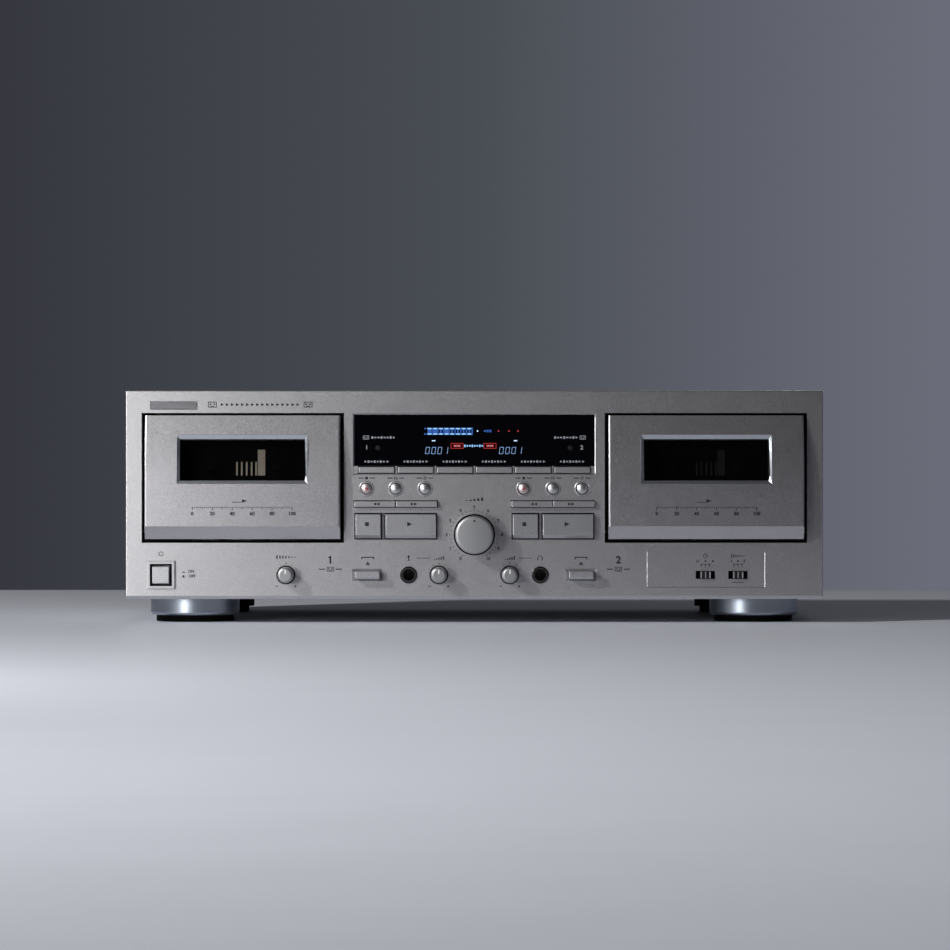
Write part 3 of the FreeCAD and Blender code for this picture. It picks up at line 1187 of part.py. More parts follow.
def control_board():
    """The board behind the panel with its posts, switches, controls and display tube."""
    depths = (BOARD_DEPTH, BOARD_DEPTH + BOARD_THICKNESS)
    board = block((-BOARD_HALF_WIDTH, BOARD_HALF_WIDTH), depths, (STRIP_BOARD_TOP, BOARD_TOP))
    strip = block((STRIP_BOARD_LEFT, STRIP_BOARD_RIGHT), depths,
                  (STRIP_BOARD_BOTTOM, STRIP_BOARD_TOP))
    pieces = [strip] + [rod(x, z, POST_RADIUS, PANEL_THICKNESS, BOARD_DEPTH)
                        for x, z in POST_PLACES]
    tube_bottom = DISPLAY_BOTTOM + TUBE_RISE
    tube_back = KEY_FLANGE_FRONT + TUBE_THICKNESS
    pieces.append(block((-TUBE_HALF, TUBE_HALF), (KEY_FLANGE_FRONT, tube_back),
                        (tube_bottom, tube_bottom + TUBE_HEIGHT)))
    for side in (-1, 1):
        pieces.append(slab(side * TUBE_HALF / 2, DISPLAY_Z, SWITCH_SIZE, SWITCH_SIZE, tube_back,
                           BOARD_DEPTH))
        pieces.append(switch_body(side * RESET_X, RESET_Z))
    pieces += [switch_body(x, STRIP_Z) for x in row_key_places()]
    pieces.append(switch_body(-POWER_X, CONTROL_Z))
    for _, _, cluster_x, _, _ in DECKS:
        pieces += [switch_body(cluster_x + offset, ROUND_Z)
                   for offset in (-ROUND_PITCH, 0, ROUND_PITCH)]
        pieces += [switch_body(cluster_x + offset, SHUTTLE_Z)
                   for offset in (-SHUTTLE_OFFSET, SHUTTLE_OFFSET)]
        pieces += [switch_body(cluster_x + offset, PLAY_Z) for offset in (STOP_OFFSET, PLAY_OFFSET)]
    pieces.append(pot_body(0, REC_KNOB_Z, REC_POT_SIZE))
    pieces += [pot_body(x, CONTROL_Z, POT_SIZE) for x in (-PITCH_KNOB_X, -SMALL_KNOB_X, SMALL_KNOB_X)]
    pieces += [slide_switch_body(x) for x in (TIMER_X, NOISE_X)]
    return board.fuse(pieces).removeSplitter()


def front_jacks():
    """The two 6.3 mm sockets with their bezels."""
    jacks = []
    for x in (-JACK_X, JACK_X):
        bezel = rod(x, CONTROL_Z, JACK_BEZEL_RADIUS, -JACK_BEZEL_REACH, 0)
        bezel = softened(bezel, -JACK_BEZEL_REACH, JACK_BEZEL_REACH / 2)
        barrel = rod(x, CONTROL_Z, JACK_BARREL_RADIUS, 0, PANEL_THICKNESS)
        body = slab(x, CONTROL_Z, JACK_BODY_SIZE, JACK_BODY_SIZE, PANEL_THICKNESS, BOARD_DEPTH)
        bore = rod(x, CONTROL_Z, JACK_BORE_RADIUS, -JACK_BEZEL_REACH - SKIN, JACK_BORE_END)
        jacks.append(bezel.fuse([barrel, body]).cut(bore))
    return Part.makeCompound(jacks)


def rear_sockets():
    """The line sockets, with their blocks, and the mains inlet, each as its own solid."""
    end = BODY_DEPTH + SOCKET_REACH
    solids = []
    for x in SOCKET_X:
        solids.append(slab(x, SOCKET_Z, SOCKET_BLOCK_WIDTH, SOCKET_PITCH + SOCKET_BLOCK_WIDTH,
                           REAR_INNER - SOCKET_BLOCK_BODY, REAR_INNER))
        for z in socket_heights():
            neck = rod(x, z, SOCKET_NECK_RADIUS, REAR_INNER, BODY_DEPTH)
            barrel = rod(x, z, SOCKET_RADIUS, BODY_DEPTH, end)
            bore = rod(x, z, SOCKET_BORE_RADIUS, end - SOCKET_BORE_DEPTH, end + SKIN)
            solids.append(neck.fuse(barrel).cut(bore))
    solids.append(mains_inlet())
    return Part.makeCompound(solids)


def mains_inlet():
    """A recessed two-pin mains inlet."""
    front = BODY_DEPTH + INLET_FLANGE
    pin_back = front - INLET_RECESS
    flange = slab(*inlet_rect(INLET_RIM), BODY_DEPTH, front)
    body = slab(*inlet_rect(), REAR_INNER - INLET_BODY, BODY_DEPTH)
    recess = slab(*inlet_rect(-INLET_WALL), pin_back, front + SKIN)
    inlet = flange.fuse(body).cut(recess)
    for side in (-1, 1):
        inlet = inlet.fuse(rod(INLET_X + side * INLET_PIN_SPACING / 2, INLET_Z, INLET_PIN_RADIUS,
                               pin_back, pin_back + INLET_PIN_LENGTH))
    return inlet


def main_board():
    """The main board on its standoffs, with capacitors, chips and a finned heat sink."""
    left, front = MAIN_BOARD_LEFT, MAIN_BOARD_FRONT
    under = FLOOR_TOP + STANDOFF_HEIGHT
    top = under + BOARD_THICKNESS
    board = block((left, MAIN_BOARD_RIGHT), (front, front + MAIN_BOARD_LENGTH), (under, top))
    pieces = []
    for x in (left + STANDOFF_INSET, MAIN_BOARD_RIGHT - STANDOFF_INSET):
        for depth in (front + STANDOFF_INSET, front + MAIN_BOARD_LENGTH - STANDOFF_INSET):
            pieces.append(pillar(x, depth, STANDOFF_RADIUS, FLOOR_TOP, under))
    for x, depth in CAPACITOR_PLACES:
        pieces.append(pillar(left + x, front + depth, CAPACITOR_RADIUS, top,
                             top + CAPACITOR_HEIGHT))
    half = CHIP_SIZE / 2
    for x, depth in CHIP_PLACES:
        pieces.append(block((left + x - half, left + x + half),
                            (front + depth - half, front + depth + half), (top, top + CHIP_HEIGHT)))
    return board.fuse(pieces + heat_sink(top)).removeSplitter()


def heat_sink(bottom):
    """The heat sink's back plate and its fins."""
    left = MAIN_BOARD_LEFT + HEAT_SINK_PLACE[0] - HEAT_SINK_WIDTH / 2
    front = MAIN_BOARD_FRONT + HEAT_SINK_PLACE[1]
    heights = (bottom, bottom + HEAT_SINK_HEIGHT)
    pitch = (HEAT_SINK_WIDTH - HEAT_SINK_FIN) / (HEAT_SINK_FINS - 1)
    fins = [block((left + index * pitch, left + index * pitch + HEAT_SINK_FIN),
                  (front, front + HEAT_SINK_BASE + HEAT_SINK_FIN_LENGTH), heights)
            for index in range(HEAT_SINK_FINS)]
    return [block((left, left + HEAT_SINK_WIDTH), (front, front + HEAT_SINK_BASE), heights)] + fins


def power_transformer():
    """The laminated core, its coil and two mounting tabs on the tray."""
    x, depth = TRANSFORMER_X, TRANSFORMER_DEPTH
    core = block((x - CORE_WIDTH / 2, x + CORE_WIDTH / 2),
                 (depth - CORE_LENGTH / 2, depth + CORE_LENGTH / 2),
                 (FLOOR_TOP, FLOOR_TOP + CORE_HEIGHT))
    middle = FLOOR_TOP + CORE_HEIGHT / 2
    coil = block((x - COIL_WIDTH / 2, x + COIL_WIDTH / 2),
                 (depth - COIL_LENGTH / 2, depth + COIL_LENGTH / 2),
                 (middle - COIL_HEIGHT / 2, middle + COIL_HEIGHT / 2))
    coil = coil.makeFillet(COIL_CORNER_RADIUS, upright_edges(coil))
    half = CORE_WIDTH / 2 + CORE_TAB
    tabs = block((x - half, x + half), (depth - CORE_LENGTH / 4, depth + CORE_LENGTH / 4),
                 (FLOOR_TOP, FLOOR_TOP + CORE_TAB_THICKNESS))
    return core.fuse([coil, tabs]).removeSplitter()


# ---- All pieces -----------------------------------------------------------------------------
def fixed_pieces():
    """The pieces that belong to the case."""
    return {"front_panel": front_panel(), "display_window": display_window(),
            "control_board": control_board(), "top_cover": top_cover(),
            "chassis_base": chassis_base(), "rear_panel": rear_panel(),
            "front_feet": front_feet(), "rubber_feet": rubber_feet(),
            "main_board": main_board(), "power_transformer": power_transformer(),
            "front_jacks": front_jacks(), "rear_sockets": rear_sockets(),
            "cover_screws": cover_screws()}


def deck_pieces(number, deck_x, cluster_x, eject_x, reset_x):
    """The door, transport, keys and buttons of one deck."""
    supply_x, take_up_x = hub_places(deck_x)
    pieces = {"deck_mechanism": deck_mechanism(deck_x), "door_panel": door_panel(deck_x),
              "door_window": door_window(deck_x), "cassette_holder": cassette_holder(deck_x),
              "supply_spindle": reel_spindle(supply_x), "take_up_spindle": reel_spindle(take_up_x),
              "capstan_flywheel": capstan_flywheel(capstan_x(deck_x)),
              "head_bridge": head_bridge(deck_x),
              "record_button": round_button(cluster_x - ROUND_PITCH),
              "pause_button": round_button(cluster_x),
              "rec_mute_button": round_button(cluster_x + ROUND_PITCH),
              "eject_button": eject_button(eject_x),
              "counter_reset_button": counter_reset_button(reset_x)}
    for name, side in (("rewind_button", -1), ("forward_button", 1)):
        pieces[name] = flat_key(cluster_x + side * SHUTTLE_OFFSET, SHUTTLE_Z, SHUTTLE_WIDTH,
                                SHUTTLE_HEIGHT, SHUTTLE_REACH, KEY_TRAVEL)
    for name, offset, width in (("stop_button", STOP_OFFSET, STOP_WIDTH),
                                ("play_button", PLAY_OFFSET, PLAY_WIDTH)):
        pieces[name] = flat_key(cluster_x + offset, PLAY_Z, width, PLAY_ROW_HEIGHT, PLAY_REACH,
                                PLAY_TRAVEL, PLAY_CHAMFER)
    return {f"{name}_{number}": shape for name, shape in pieces.items()}


def shared_controls():
    """The controls that serve both decks."""
    names = ("return_to_zero_button_1", "dimmer_button", "repeat_button", "parallel_rec_button",
             "dub_start_button", "return_to_zero_button_2")
    pieces = {name: flat_key(x, STRIP_Z, ROW_KEY_WIDTH, ROW_KEY_HEIGHT, ROW_KEY_REACH, KEY_TRAVEL)
              for name, x in zip(names, row_key_places())}
    pieces["power_button"] = power_button()
    pieces["timer_slider"] = slide_button(TIMER_X)
    pieces["noise_reduction_slider"] = slide_button(NOISE_X)
    pieces["rec_level_knob"] = rec_level_knob()
    pieces["pitch_knob"] = small_knob(-PITCH_KNOB_X)
    pieces["mic_level_knob"] = small_knob(-SMALL_KNOB_X)
    pieces["phones_level_knob"] = small_knob(SMALL_KNOB_X)
    return pieces


def main():
    """Build every piece and write one STEP file for each."""
    os.makedirs("parts", exist_ok=True)
    pieces = fixed_pieces()
    pieces.update(shared_controls())
    for deck in DECKS:
        pieces.update(deck_pieces(*deck))
    for name, shape in pieces.items():
        if not shape.isValid():
            raise ValueError(f"{name} is not a valid shape")
        shape.exportStep(f"parts/{name}.step")
        print(f"{name}: {len(shape.Solids)} solid, {shape.Volume / 1000:.2f} cm3")


main()
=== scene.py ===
"""Looks for a full-size double cassette deck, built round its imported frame.

Sizes are millimetres and depths run backwards from the front panel's face, as in the part itself.
Finished meshes are metres, in the part's own frame.
"""
import json
import logging
import math
from dataclasses import dataclass, field
from enum import Enum
from typing import Callable

import bmesh
import bpy
from mathutils import Matrix, Vector

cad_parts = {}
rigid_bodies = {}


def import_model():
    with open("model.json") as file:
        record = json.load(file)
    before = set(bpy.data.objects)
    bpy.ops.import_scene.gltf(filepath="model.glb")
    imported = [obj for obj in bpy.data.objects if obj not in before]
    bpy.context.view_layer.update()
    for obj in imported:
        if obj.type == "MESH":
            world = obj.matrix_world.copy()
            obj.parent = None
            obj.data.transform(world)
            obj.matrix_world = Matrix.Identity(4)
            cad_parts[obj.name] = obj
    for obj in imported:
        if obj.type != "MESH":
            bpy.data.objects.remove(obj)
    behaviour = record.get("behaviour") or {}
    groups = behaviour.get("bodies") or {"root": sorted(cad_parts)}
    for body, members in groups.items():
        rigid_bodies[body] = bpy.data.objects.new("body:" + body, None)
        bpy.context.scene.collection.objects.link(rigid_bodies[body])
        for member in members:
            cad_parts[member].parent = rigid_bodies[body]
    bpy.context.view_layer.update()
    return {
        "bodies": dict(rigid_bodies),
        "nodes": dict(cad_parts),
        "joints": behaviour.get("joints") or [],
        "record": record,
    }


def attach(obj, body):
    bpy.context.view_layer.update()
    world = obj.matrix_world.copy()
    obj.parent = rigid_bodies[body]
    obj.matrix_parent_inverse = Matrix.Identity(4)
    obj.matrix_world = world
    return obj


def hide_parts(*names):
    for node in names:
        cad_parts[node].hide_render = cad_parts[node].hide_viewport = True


LOG = logging.getLogger("deck")
MM = 0.001
PANEL_Y = -127.4
PRINT_HEIGHT = 0.05
FIGURE_SHARE = 0.7
FIGURE_BOLD = 0.05

# Places on the panel that more than one sub-assembly needs.
CONTROL_Z = 30.0
DIAL_Z = 55.1
SHUTTLE_Z = 74.25
BUTTON_Z = 83.8
BUTTON_OFFSETS = (-18.2, 0.0, 18.2)
ROW_KEYS = 6
ROW_PITCH = 24.4
POWER_X = -195.4
PITCH_X = -117.5
LEVEL_X = 22.1
JACK_X = 41.0
TIMER_X = 144.1
NOISE_REDUCTION_X = 164.4
SMALL_KNOBS = {"pitch_knob": PITCH_X, "mic_level_knob": -LEVEL_X, "phones_level_knob": LEVEL_X}

Node = bpy.types.Node
Output = tuple[Node, str | int]
Colour = tuple[float, float, float]
Point = tuple[float, float, float]
Span = tuple[float, float]
Box = tuple[float, float, float, float]


def at(x: float, depth: float, z: float) -> Vector:
    """Gives a place in metres.

    Args:
        x: Place from left to right.
        depth: Distance behind the panel's face.
        z: Height.

    Returns:
        The point.
    """
    return Vector((x, PANEL_Y + depth, z)) * MM


def row_x(index: int) -> float:
    """Gives the place of a key in the row under the display, from left to right."""
    return (index - (ROW_KEYS - 1) / 2) * ROW_PITCH


# ---- Node trees
class Graph:
    """A node tree with short ways to add and join its nodes."""

    def __init__(self, tree: bpy.types.NodeTree) -> None:
        """Keeps the tree that is being filled."""
        self.tree = tree

    def add(self, kind: str, values: dict[str | int, object] | None = None,
            **settings: object) -> Node:
        """Adds a node.

        Args:
            kind: The node's type without its "ShaderNode" prefix.
            values: Numbers or colours for its inputs, by name or place.
            settings: Its own properties.

        Returns:
            The node.
        """
        node = self.tree.nodes.new("ShaderNode" + kind)
        for key, value in settings.items():
            setattr(node, key, value)
        for key, value in (values or {}).items():
            node.inputs[key].default_value = value
        return node

    def join(self, source: Node, out: str | int, target: Node, into: str | int) -> None:
        """Joins one node's output to another's input.

        Args:
            source: The node that gives the value.
            out: Its output, by name or place.
            target: The node that takes it.
            into: Its input, by name or place.
        """
        self.tree.links.new(source.outputs[out], target.inputs[into])

    def math(self, operation: str, first: Output, second: Output | float) -> Node:
        """Adds a sum of two values.

        Args:
            operation: The Math node's operation.
            first: A node and its output.
            second: Another node and output, or a number.

        Returns:
            The Math node.
        """
        node = self.add("Math", operation=operation)
        self.join(first[0], first[1], node, 0)
        if isinstance(second, tuple):
            self.join(second[0], second[1], node, 1)
        else:
            node.inputs[1].default_value = second
        return node


class Pattern(Enum):
    """The ways a surface can be uneven, each a node group of that name."""

    GRAIN = "Blasted grain"
    LINES = "Drawn lines"
    TURNED = "Turned rings"
    SKIN = "Moulded skin"
    SPANGLE = "Zinc spangle"
    TRACKS = "Board tracks"
    WOVEN = "Woven mottle"


class PatternGroup:
    """Builds the node group of a pattern, once, with the same named sockets for all."""

    def __init__(self, pattern: Pattern) -> None:
        """Starts a group with its sockets and its scaled coordinates.

        Args:
            pattern: The pattern to build.
        """
        tree = bpy.data.node_groups.new(pattern.value, "ShaderNodeTree")
        for name, kind, value in (("Size", "NodeSocketFloat", 1.0),
                                  ("Stretch", "NodeSocketVector", (1.0, 1.0, 1.0)),
                                  ("Centre", "NodeSocketVector", (0.0, 0.0, 0.0))):
            tree.interface.new_socket(name, in_out="INPUT", socket_type=kind).default_value = value
        for name in ("Shade", "Height"):
            tree.interface.new_socket(name, in_out="OUTPUT", socket_type="NodeSocketFloat")
        self.graph = Graph(tree)
        self.entry = tree.nodes.new("NodeGroupInput")
        self.exit = tree.nodes.new("NodeGroupOutput")
        coordinates = self.graph.add("TexCoord")
        centred = self.graph.add("VectorMath", operation="SUBTRACT")
        stretched = self.graph.add("VectorMath", operation="MULTIPLY")
        self.scaled = self.graph.add("VectorMath", operation="SCALE")
        factor = self.graph.add("Math", {0: 1.0 / MM}, operation="DIVIDE")
        self.graph.join(self.entry, "Size", factor, 1)
        self.graph.join(coordinates, "Object", centred, 0)
        self.graph.join(self.entry, "Centre", centred, 1)
        self.graph.join(centred, 0, stretched, 0)
        self.graph.join(self.entry, "Stretch", stretched, 1)
        self.graph.join(stretched, 0, self.scaled, 0)
        self.graph.join(factor, 0, self.scaled, "Scale")

    def cloud(self, scale: float, detail: float) -> Node:
        """Adds a noise on the scaled coordinates.

        Args:
            scale: Its fineness against the pattern's size.
            detail: Its number of octaves.

        Returns:
            The noise node.
        """
        noise = self.graph.add("TexNoise", {"Scale": scale, "Detail": detail, "Roughness": 0.6})
        self.graph.join(self.scaled, 0, noise, "Vector")
        return noise

    def give(self, fine: Output, share: float, coarse_scale: float = 0.06) -> None:
        """Sends a fine pattern with a soft cloud over it to the group's outputs.

        Args:
            fine: The node and output of the fine pattern.
            share: How much of the shade comes from it.
            coarse_scale: The fineness of the cloud.
        """
        coarse = self.cloud(coarse_scale, 2.0)
        near = self.graph.math("MULTIPLY", fine, share)
        far = self.graph.math("MULTIPLY", (coarse, 0), 1.0 - share)
        total = self.graph.math("ADD", (near, 0), (far, 0))
        self.graph.join(total, 0, self.exit, "Shade")
        self.graph.join(fine[0], fine[1], self.exit, "Height")

    def grain(self) -> None:
        """Fills the group with fine blasted grain."""
        self.give((self.cloud(1.0, 3.0), 0), 0.9)

    def lines(self) -> None:
        """Fills the group with fine drawn lines, long where Stretch is small."""
        self.give((self.cloud(1.0, 4.0), 0), 0.8)

    def turned(self) -> None:
        """Fills the group with rings round the centre."""
        radius = self.graph.add("VectorMath", operation="LENGTH")
        self.graph.join(self.scaled, 0, radius, 0)
        rings = self.graph.add("TexNoise", {"Scale": 1.0, "Detail": 3.0}, noise_dimensions="1D")
        self.graph.join(radius, "Value", rings, "W")
        self.give((rings, 0), 0.8)

    def skin(self) -> None:
        """Fills the group with the small rounded bumps of moulded plastic."""
        cells = self.graph.add("TexVoronoi", {"Scale": 1.0, "Smoothness": 0.6},
                               feature="SMOOTH_F1")
        self.graph.join(self.scaled, 0, cells, "Vector")
        self.give((cells, "Distance"), 0.5)

    def spangle(self) -> None:
        """Fills the group with the flat crystals of zinc plating."""
        cells = self.graph.add("TexVoronoi", {"Scale": 1.0})
        parts = self.graph.add("SeparateColor")
        self.graph.join(self.scaled, 0, cells, "Vector")
        self.graph.join(cells, "Color", parts, 0)
        self.give((parts, 0), 0.7, 0.2)

    def tracks(self) -> None:
        """Fills the group with square runs of track under a board's lacquer."""
        cells = self.graph.add("TexVoronoi", {"Scale": 1.0, "Randomness": 0.55},
                               feature="F2", distance="CHEBYCHEV")
        self.graph.join(self.scaled, 0, cells, "Vector")
        steps = self.graph.add("MapRange", {"From Min": 0.55, "From Max": 0.6})
        self.graph.join(cells, "Distance", steps, 0)
        self.give((steps, 0), 0.8)

    def woven(self) -> None:
        """Fills the group with two crossed sets of soft ribs, broken by a cloud."""
        across = self.graph.add("TexWave", {"Scale": 0.5, "Distortion": 1.5, "Detail": 2.0},
                                bands_direction="X")
        along = self.graph.add("TexWave", {"Scale": 0.5, "Distortion": 1.5, "Detail": 2.0},
                               bands_direction="Z")
        for wave in (across, along):
            self.graph.join(self.scaled, 0, wave, "Vector")
        crossed = self.graph.math("MULTIPLY", (across, 1), (along, 1))
        mixed = self.graph.math("MULTIPLY_ADD", (crossed, 0), 0.8)
        self.graph.join(self.cloud(0.7, 2.0), 0, mixed, 2)
        self.give((mixed, 0), 0.9)


def pattern_tree(pattern: Pattern) -> bpy.types.NodeTree:
    """Finds a pattern's node group, and builds it on first use.

    Args:
        pattern: The pattern.

    Returns:
        Its node tree.
    """
    if pattern.value not in bpy.data.node_groups:
        group = PatternGroup(pattern)
        getattr(group, pattern.name.lower())()
    return bpy.data.node_groups[pattern.value]


def blend_tree() -> bpy.types.NodeTree:
    """Finds the group that lets a shade lighten a colour and roughen a surface.

    Returns:
        Its node tree, built on first use.
    """
    title = "Uneven finish"
    if title in bpy.data.node_groups:
        return bpy.data.node_groups[title]
    tree = bpy.data.node_groups.new(title, "ShaderNodeTree")
    for name, kind in (("Colour", "NodeSocketColor"), ("Shade", "NodeSocketFloat"),
                       ("Colour Spread", "NodeSocketFloat"), ("Roughness", "NodeSocketFloat"),
                       ("Roughness Spread", "NodeSocketFloat")):
        tree.interface.new_socket(name, in_out="INPUT", socket_type=kind)
    tree.interface.new_socket("Colour", in_out="OUTPUT", socket_type="NodeSocketColor")
    tree.interface.new_socket("Roughness", in_out="OUTPUT", socket_type="NodeSocketFloat")
    graph = Graph(tree)
    entry, leave = tree.nodes.new("NodeGroupInput"), tree.nodes.new("NodeGroupOutput")
    swing = graph.math("SUBTRACT", (entry, "Shade"), 0.5)
    lift = graph.math("MULTIPLY", (swing, 0), (entry, "Colour Spread"))
    gain = graph.math("MULTIPLY_ADD", (lift, 0), 2.0)
    gain.inputs[2].default_value = 1.0
    tinted = graph.add("VectorMath", operation="SCALE")
    graph.join(entry, "Colour", tinted, 0)
    graph.join(gain, 0, tinted, "Scale")
    rough = graph.math("MULTIPLY", (swing, 0), (entry, "Roughness Spread"))
    total = graph.add("Math", operation="ADD", use_clamp=True)
    graph.join(rough, 0, total, 0)
    graph.join(entry, "Roughness", total, 1)
    graph.join(tinted, 0, leave, "Colour")
    graph.join(total, 0, leave, "Roughness")
    return tree


# ---- Finishes
@dataclass(frozen=True)
class Finish:
    """One surface: its colour, its gloss and the pattern that makes it uneven."""

    name: str
    colour: Colour
    roughness: float
    metallic: float = 0.0
    pattern: Pattern = Pattern.GRAIN
    size: float = 0.5
    stretch: Point = (1.0, 1.0, 1.0)
    centre: Point = (0.0, 0.0, 0.0)
    colour_spread: float = 0.1
    roughness_spread: float = 0.12
    bump: float = 0.01
    coat: float = 0.0
    alpha: float = 1.0
    glow: float = 0.0
    specular: float = 0.5

    def material(self) -> bpy.types.Material:
        """Finds the finish's material, and builds it on first use.

        Returns:
            The material.
        """
        if self.name in bpy.data.materials:
            return bpy.data.materials[self.name]
        made = bpy.data.materials.new(self.name)
        made.use_nodes = True
        graph = Graph(made.node_tree)
        shader = made.node_tree.nodes["Principled BSDF"]
        uneven = graph.add("Group", node_tree=pattern_tree(self.pattern))
        uneven.inputs["Size"].default_value = self.size
        uneven.inputs["Stretch"].default_value = self.stretch
        uneven.inputs["Centre"].default_value = Vector(self.centre) * MM
        blend = graph.add("Group", node_tree=blend_tree())
        blend.inputs["Colour"].default_value = (*self.colour, 1.0)
        blend.inputs["Colour Spread"].default_value = self.colour_spread
        blend.inputs["Roughness"].default_value = self.roughness
        blend.inputs["Roughness Spread"].default_value = self.roughness_spread
        graph.join(uneven, "Shade", blend, "Shade")
        graph.join(blend, "Colour", shader, "Base Color")
        graph.join(blend, "Roughness", shader, "Roughness")
        if self.bump:
            bump = graph.add("Bump", {"Strength": 1.0, "Distance": self.bump * MM})
            graph.join(uneven, "Height", bump, "Height")
            graph.join(bump, "Normal", shader, "Normal")
        if self.glow:
            graph.join(blend, "Colour", shader, "Emission Color")
        for socket, value in (("Metallic", self.metallic), ("Coat Weight", self.coat),
                              ("Coat Roughness", 0.06), ("Alpha", self.alpha),
                              ("Emission Strength", self.glow),
                              ("Specular IOR Level", self.specular)):
            shader.inputs[socket].default_value = value
        made.diffuse_color = (*self.colour, self.alpha)
        return made

    def dress(self, piece: bpy.types.Object) -> None:
        """Puts the finish on a piece.

        Args:
            piece: The object, with or without a material slot.
        """
        if not piece.material_slots:
            piece.data.materials.append(self.material())
        for slot in piece.material_slots:
            slot.material = self.material()


def turned_metal(name: str, x: float, z: float, colour: Colour) -> Finish:
    """Gives a lathe-turned metal whose rings run round a knob's own middle.

    Args:
        name: The finish's name.
        x: The middle from left to right.
        z: The middle's height.
        colour: The metal's colour.

    Returns:
        The finish.
    """
    return Finish(name, colour, 0.48, 1.0, Pattern.TURNED, 0.5, (1.0, 0.0, 1.0), (x, 0.0, z),
                  0.14, 0.15, 0.015)


PANEL_SILVER = Finish("Blasted silver", (0.605, 0.595, 0.61), 0.40, 1.0, size=0.8,
                      colour_spread=0.26, roughness_spread=0.25, bump=0.03)
DOOR_SILVER = Finish("Blasted door silver", (0.565, 0.555, 0.575), 0.39, 1.0, size=0.8,
                     colour_spread=0.26, roughness_spread=0.25, bump=0.03)
TRIM_SILVER = Finish("Satin trim", (0.72, 0.75, 0.80), 0.34, 1.0, Pattern.LINES, 0.3,
                     (0.02, 1.0, 1.0), colour_spread=0.08, roughness_spread=0.1, bump=0.003)
POLISHED = Finish("Polished trim", (0.80, 0.81, 0.84), 0.26, 1.0, Pattern.LINES, 0.25,
                  (0.02, 1.0, 1.0), colour_spread=0.08, roughness_spread=0.08, bump=0.003)
NAMEPLATE = Finish("Brushed nameplate", (0.34, 0.34, 0.355), 0.33, 1.0, Pattern.LINES, 0.35,
                   (0.03, 1.0, 1.0), colour_spread=0.25, roughness_spread=0.2, bump=0.01)
KEY_SILVER = Finish("Key silver", (0.60, 0.60, 0.62), 0.40, 1.0, size=0.8,
                    colour_spread=0.25, roughness_spread=0.2, bump=0.02)
RECORD_PINK = Finish("Record key pink", (0.62, 0.535, 0.535), 0.42, 0.95, size=0.8,
                     colour_spread=0.2, roughness_spread=0.2, bump=0.02)
SMOKED = Finish("Smoked pane", (0.0012, 0.0012, 0.0016), 0.05, 0.0, size=6.0,
                colour_spread=0.1, roughness_spread=0.02, bump=0.0, alpha=0.55, specular=0.35)
DISPLAY_GLASS = Finish("Display glass", (0.0012, 0.0012, 0.0020), 0.06, 0.0, size=9.0,
                       colour_spread=0.2, roughness_spread=0.02, bump=0.0, specular=0.35)
COVER_PAINT = Finish("Cover paint", (0.40, 0.40, 0.41), 0.42, 0.35, Pattern.SKIN, 0.7,
                     colour_spread=0.07, bump=0.02)
CHASSIS_ZINC = Finish("Zinc plate", (0.52, 0.53, 0.54), 0.38, 1.0, Pattern.SPANGLE, 6.0,
                      colour_spread=0.12, roughness_spread=0.2, bump=0.004)
REAR_PAINT = Finish("Rear paint", (0.035, 0.035, 0.038), 0.5, 0.0, Pattern.SKIN, 0.6,
                    colour_spread=0.12, bump=0.02)
FOOT_METAL = Finish("Turned foot", (0.40, 0.44, 0.50), 0.34, 1.0, Pattern.LINES, 0.35,
                    (0.02, 0.02, 1.0), colour_spread=0.06, roughness_spread=0.1, bump=0.004)
RUBBER = Finish("Foot rubber", (0.004, 0.004, 0.004), 0.8, 0.0, Pattern.SKIN, 0.5,
                colour_spread=0.2, bump=0.03, specular=0.08)
SLIDER_DARK = Finish("Slider plastic", (0.02, 0.02, 0.022), 0.4, 0.0, Pattern.SKIN, 0.25,
                     colour_spread=0.15, bump=0.008)
BLACK_PLASTIC = Finish("Black plastic", (0.005, 0.005, 0.006), 0.45, 0.0, Pattern.SKIN, 0.4,
                       colour_spread=0.2, bump=0.012, specular=0.3)
# Flat black for the pieces that paint the shade in gaps, wells, slots and under the doors.
PAINTED_SHADE_BLACK = Finish("Black felt", (0.0025, 0.0025, 0.003), 0.85, 0.0, Pattern.SKIN, 0.3,
                   colour_spread=0.3, bump=0.02, specular=0.1)
SOCKET_BLACK = Finish("Socket black", (0.006, 0.006, 0.007), 0.25, 0.0, Pattern.SKIN, 0.6,
                      colour_spread=0.15, bump=0.005, coat=0.3)
BOARD_GREEN = Finish("Board lacquer", (0.015, 0.08, 0.035), 0.3, 0.0, Pattern.TRACKS, 3.0,
                     colour_spread=0.35, bump=0.03, coat=0.3)
CORE_IRON = Finish("Varnished core", (0.12, 0.10, 0.085), 0.45, 0.4, Pattern.LINES, 0.5,
                   (0.02, 1.0, 0.02), colour_spread=0.3, bump=0.03)
FLYWHEEL = Finish("Turned steel", (0.62, 0.62, 0.62), 0.28, 1.0, Pattern.LINES, 0.3,
                  (1.0, 0.02, 1.0), colour_spread=0.08, bump=0.004)
BRIDGE = Finish("Bright plate", (0.60, 0.60, 0.60), 0.25, 1.0, Pattern.LINES, 0.3,
                (0.02, 1.0, 1.0), colour_spread=0.08, bump=0.003)
SCREW = Finish("Plated screw", (0.20, 0.20, 0.205), 0.3, 1.0, size=0.3, bump=0.004)
INK = Finish("Dark ink", (0.018, 0.018, 0.022), 0.6, 0.0, size=0.2, colour_spread=0.2,
             bump=0.002, specular=0.3)
PALE_PRINT = Finish("Pale print", (0.27, 0.28, 0.31), 0.6, 0.0, size=0.2, colour_spread=0.15,
                    bump=0.002)
WHITE_PRINT = Finish("White print", (0.80, 0.80, 0.79), 0.55, 0.0, size=0.2,
                     colour_spread=0.1, bump=0.002)
# Lighter grey on the slider ribs, a painted highlight on their tops.
RIB_HIGHLIGHT_GREY = Finish("Slider rib", (0.30, 0.31, 0.33), 0.4, 0.0, Pattern.SKIN, 0.25,
                  colour_spread=0.15, bump=0.006)
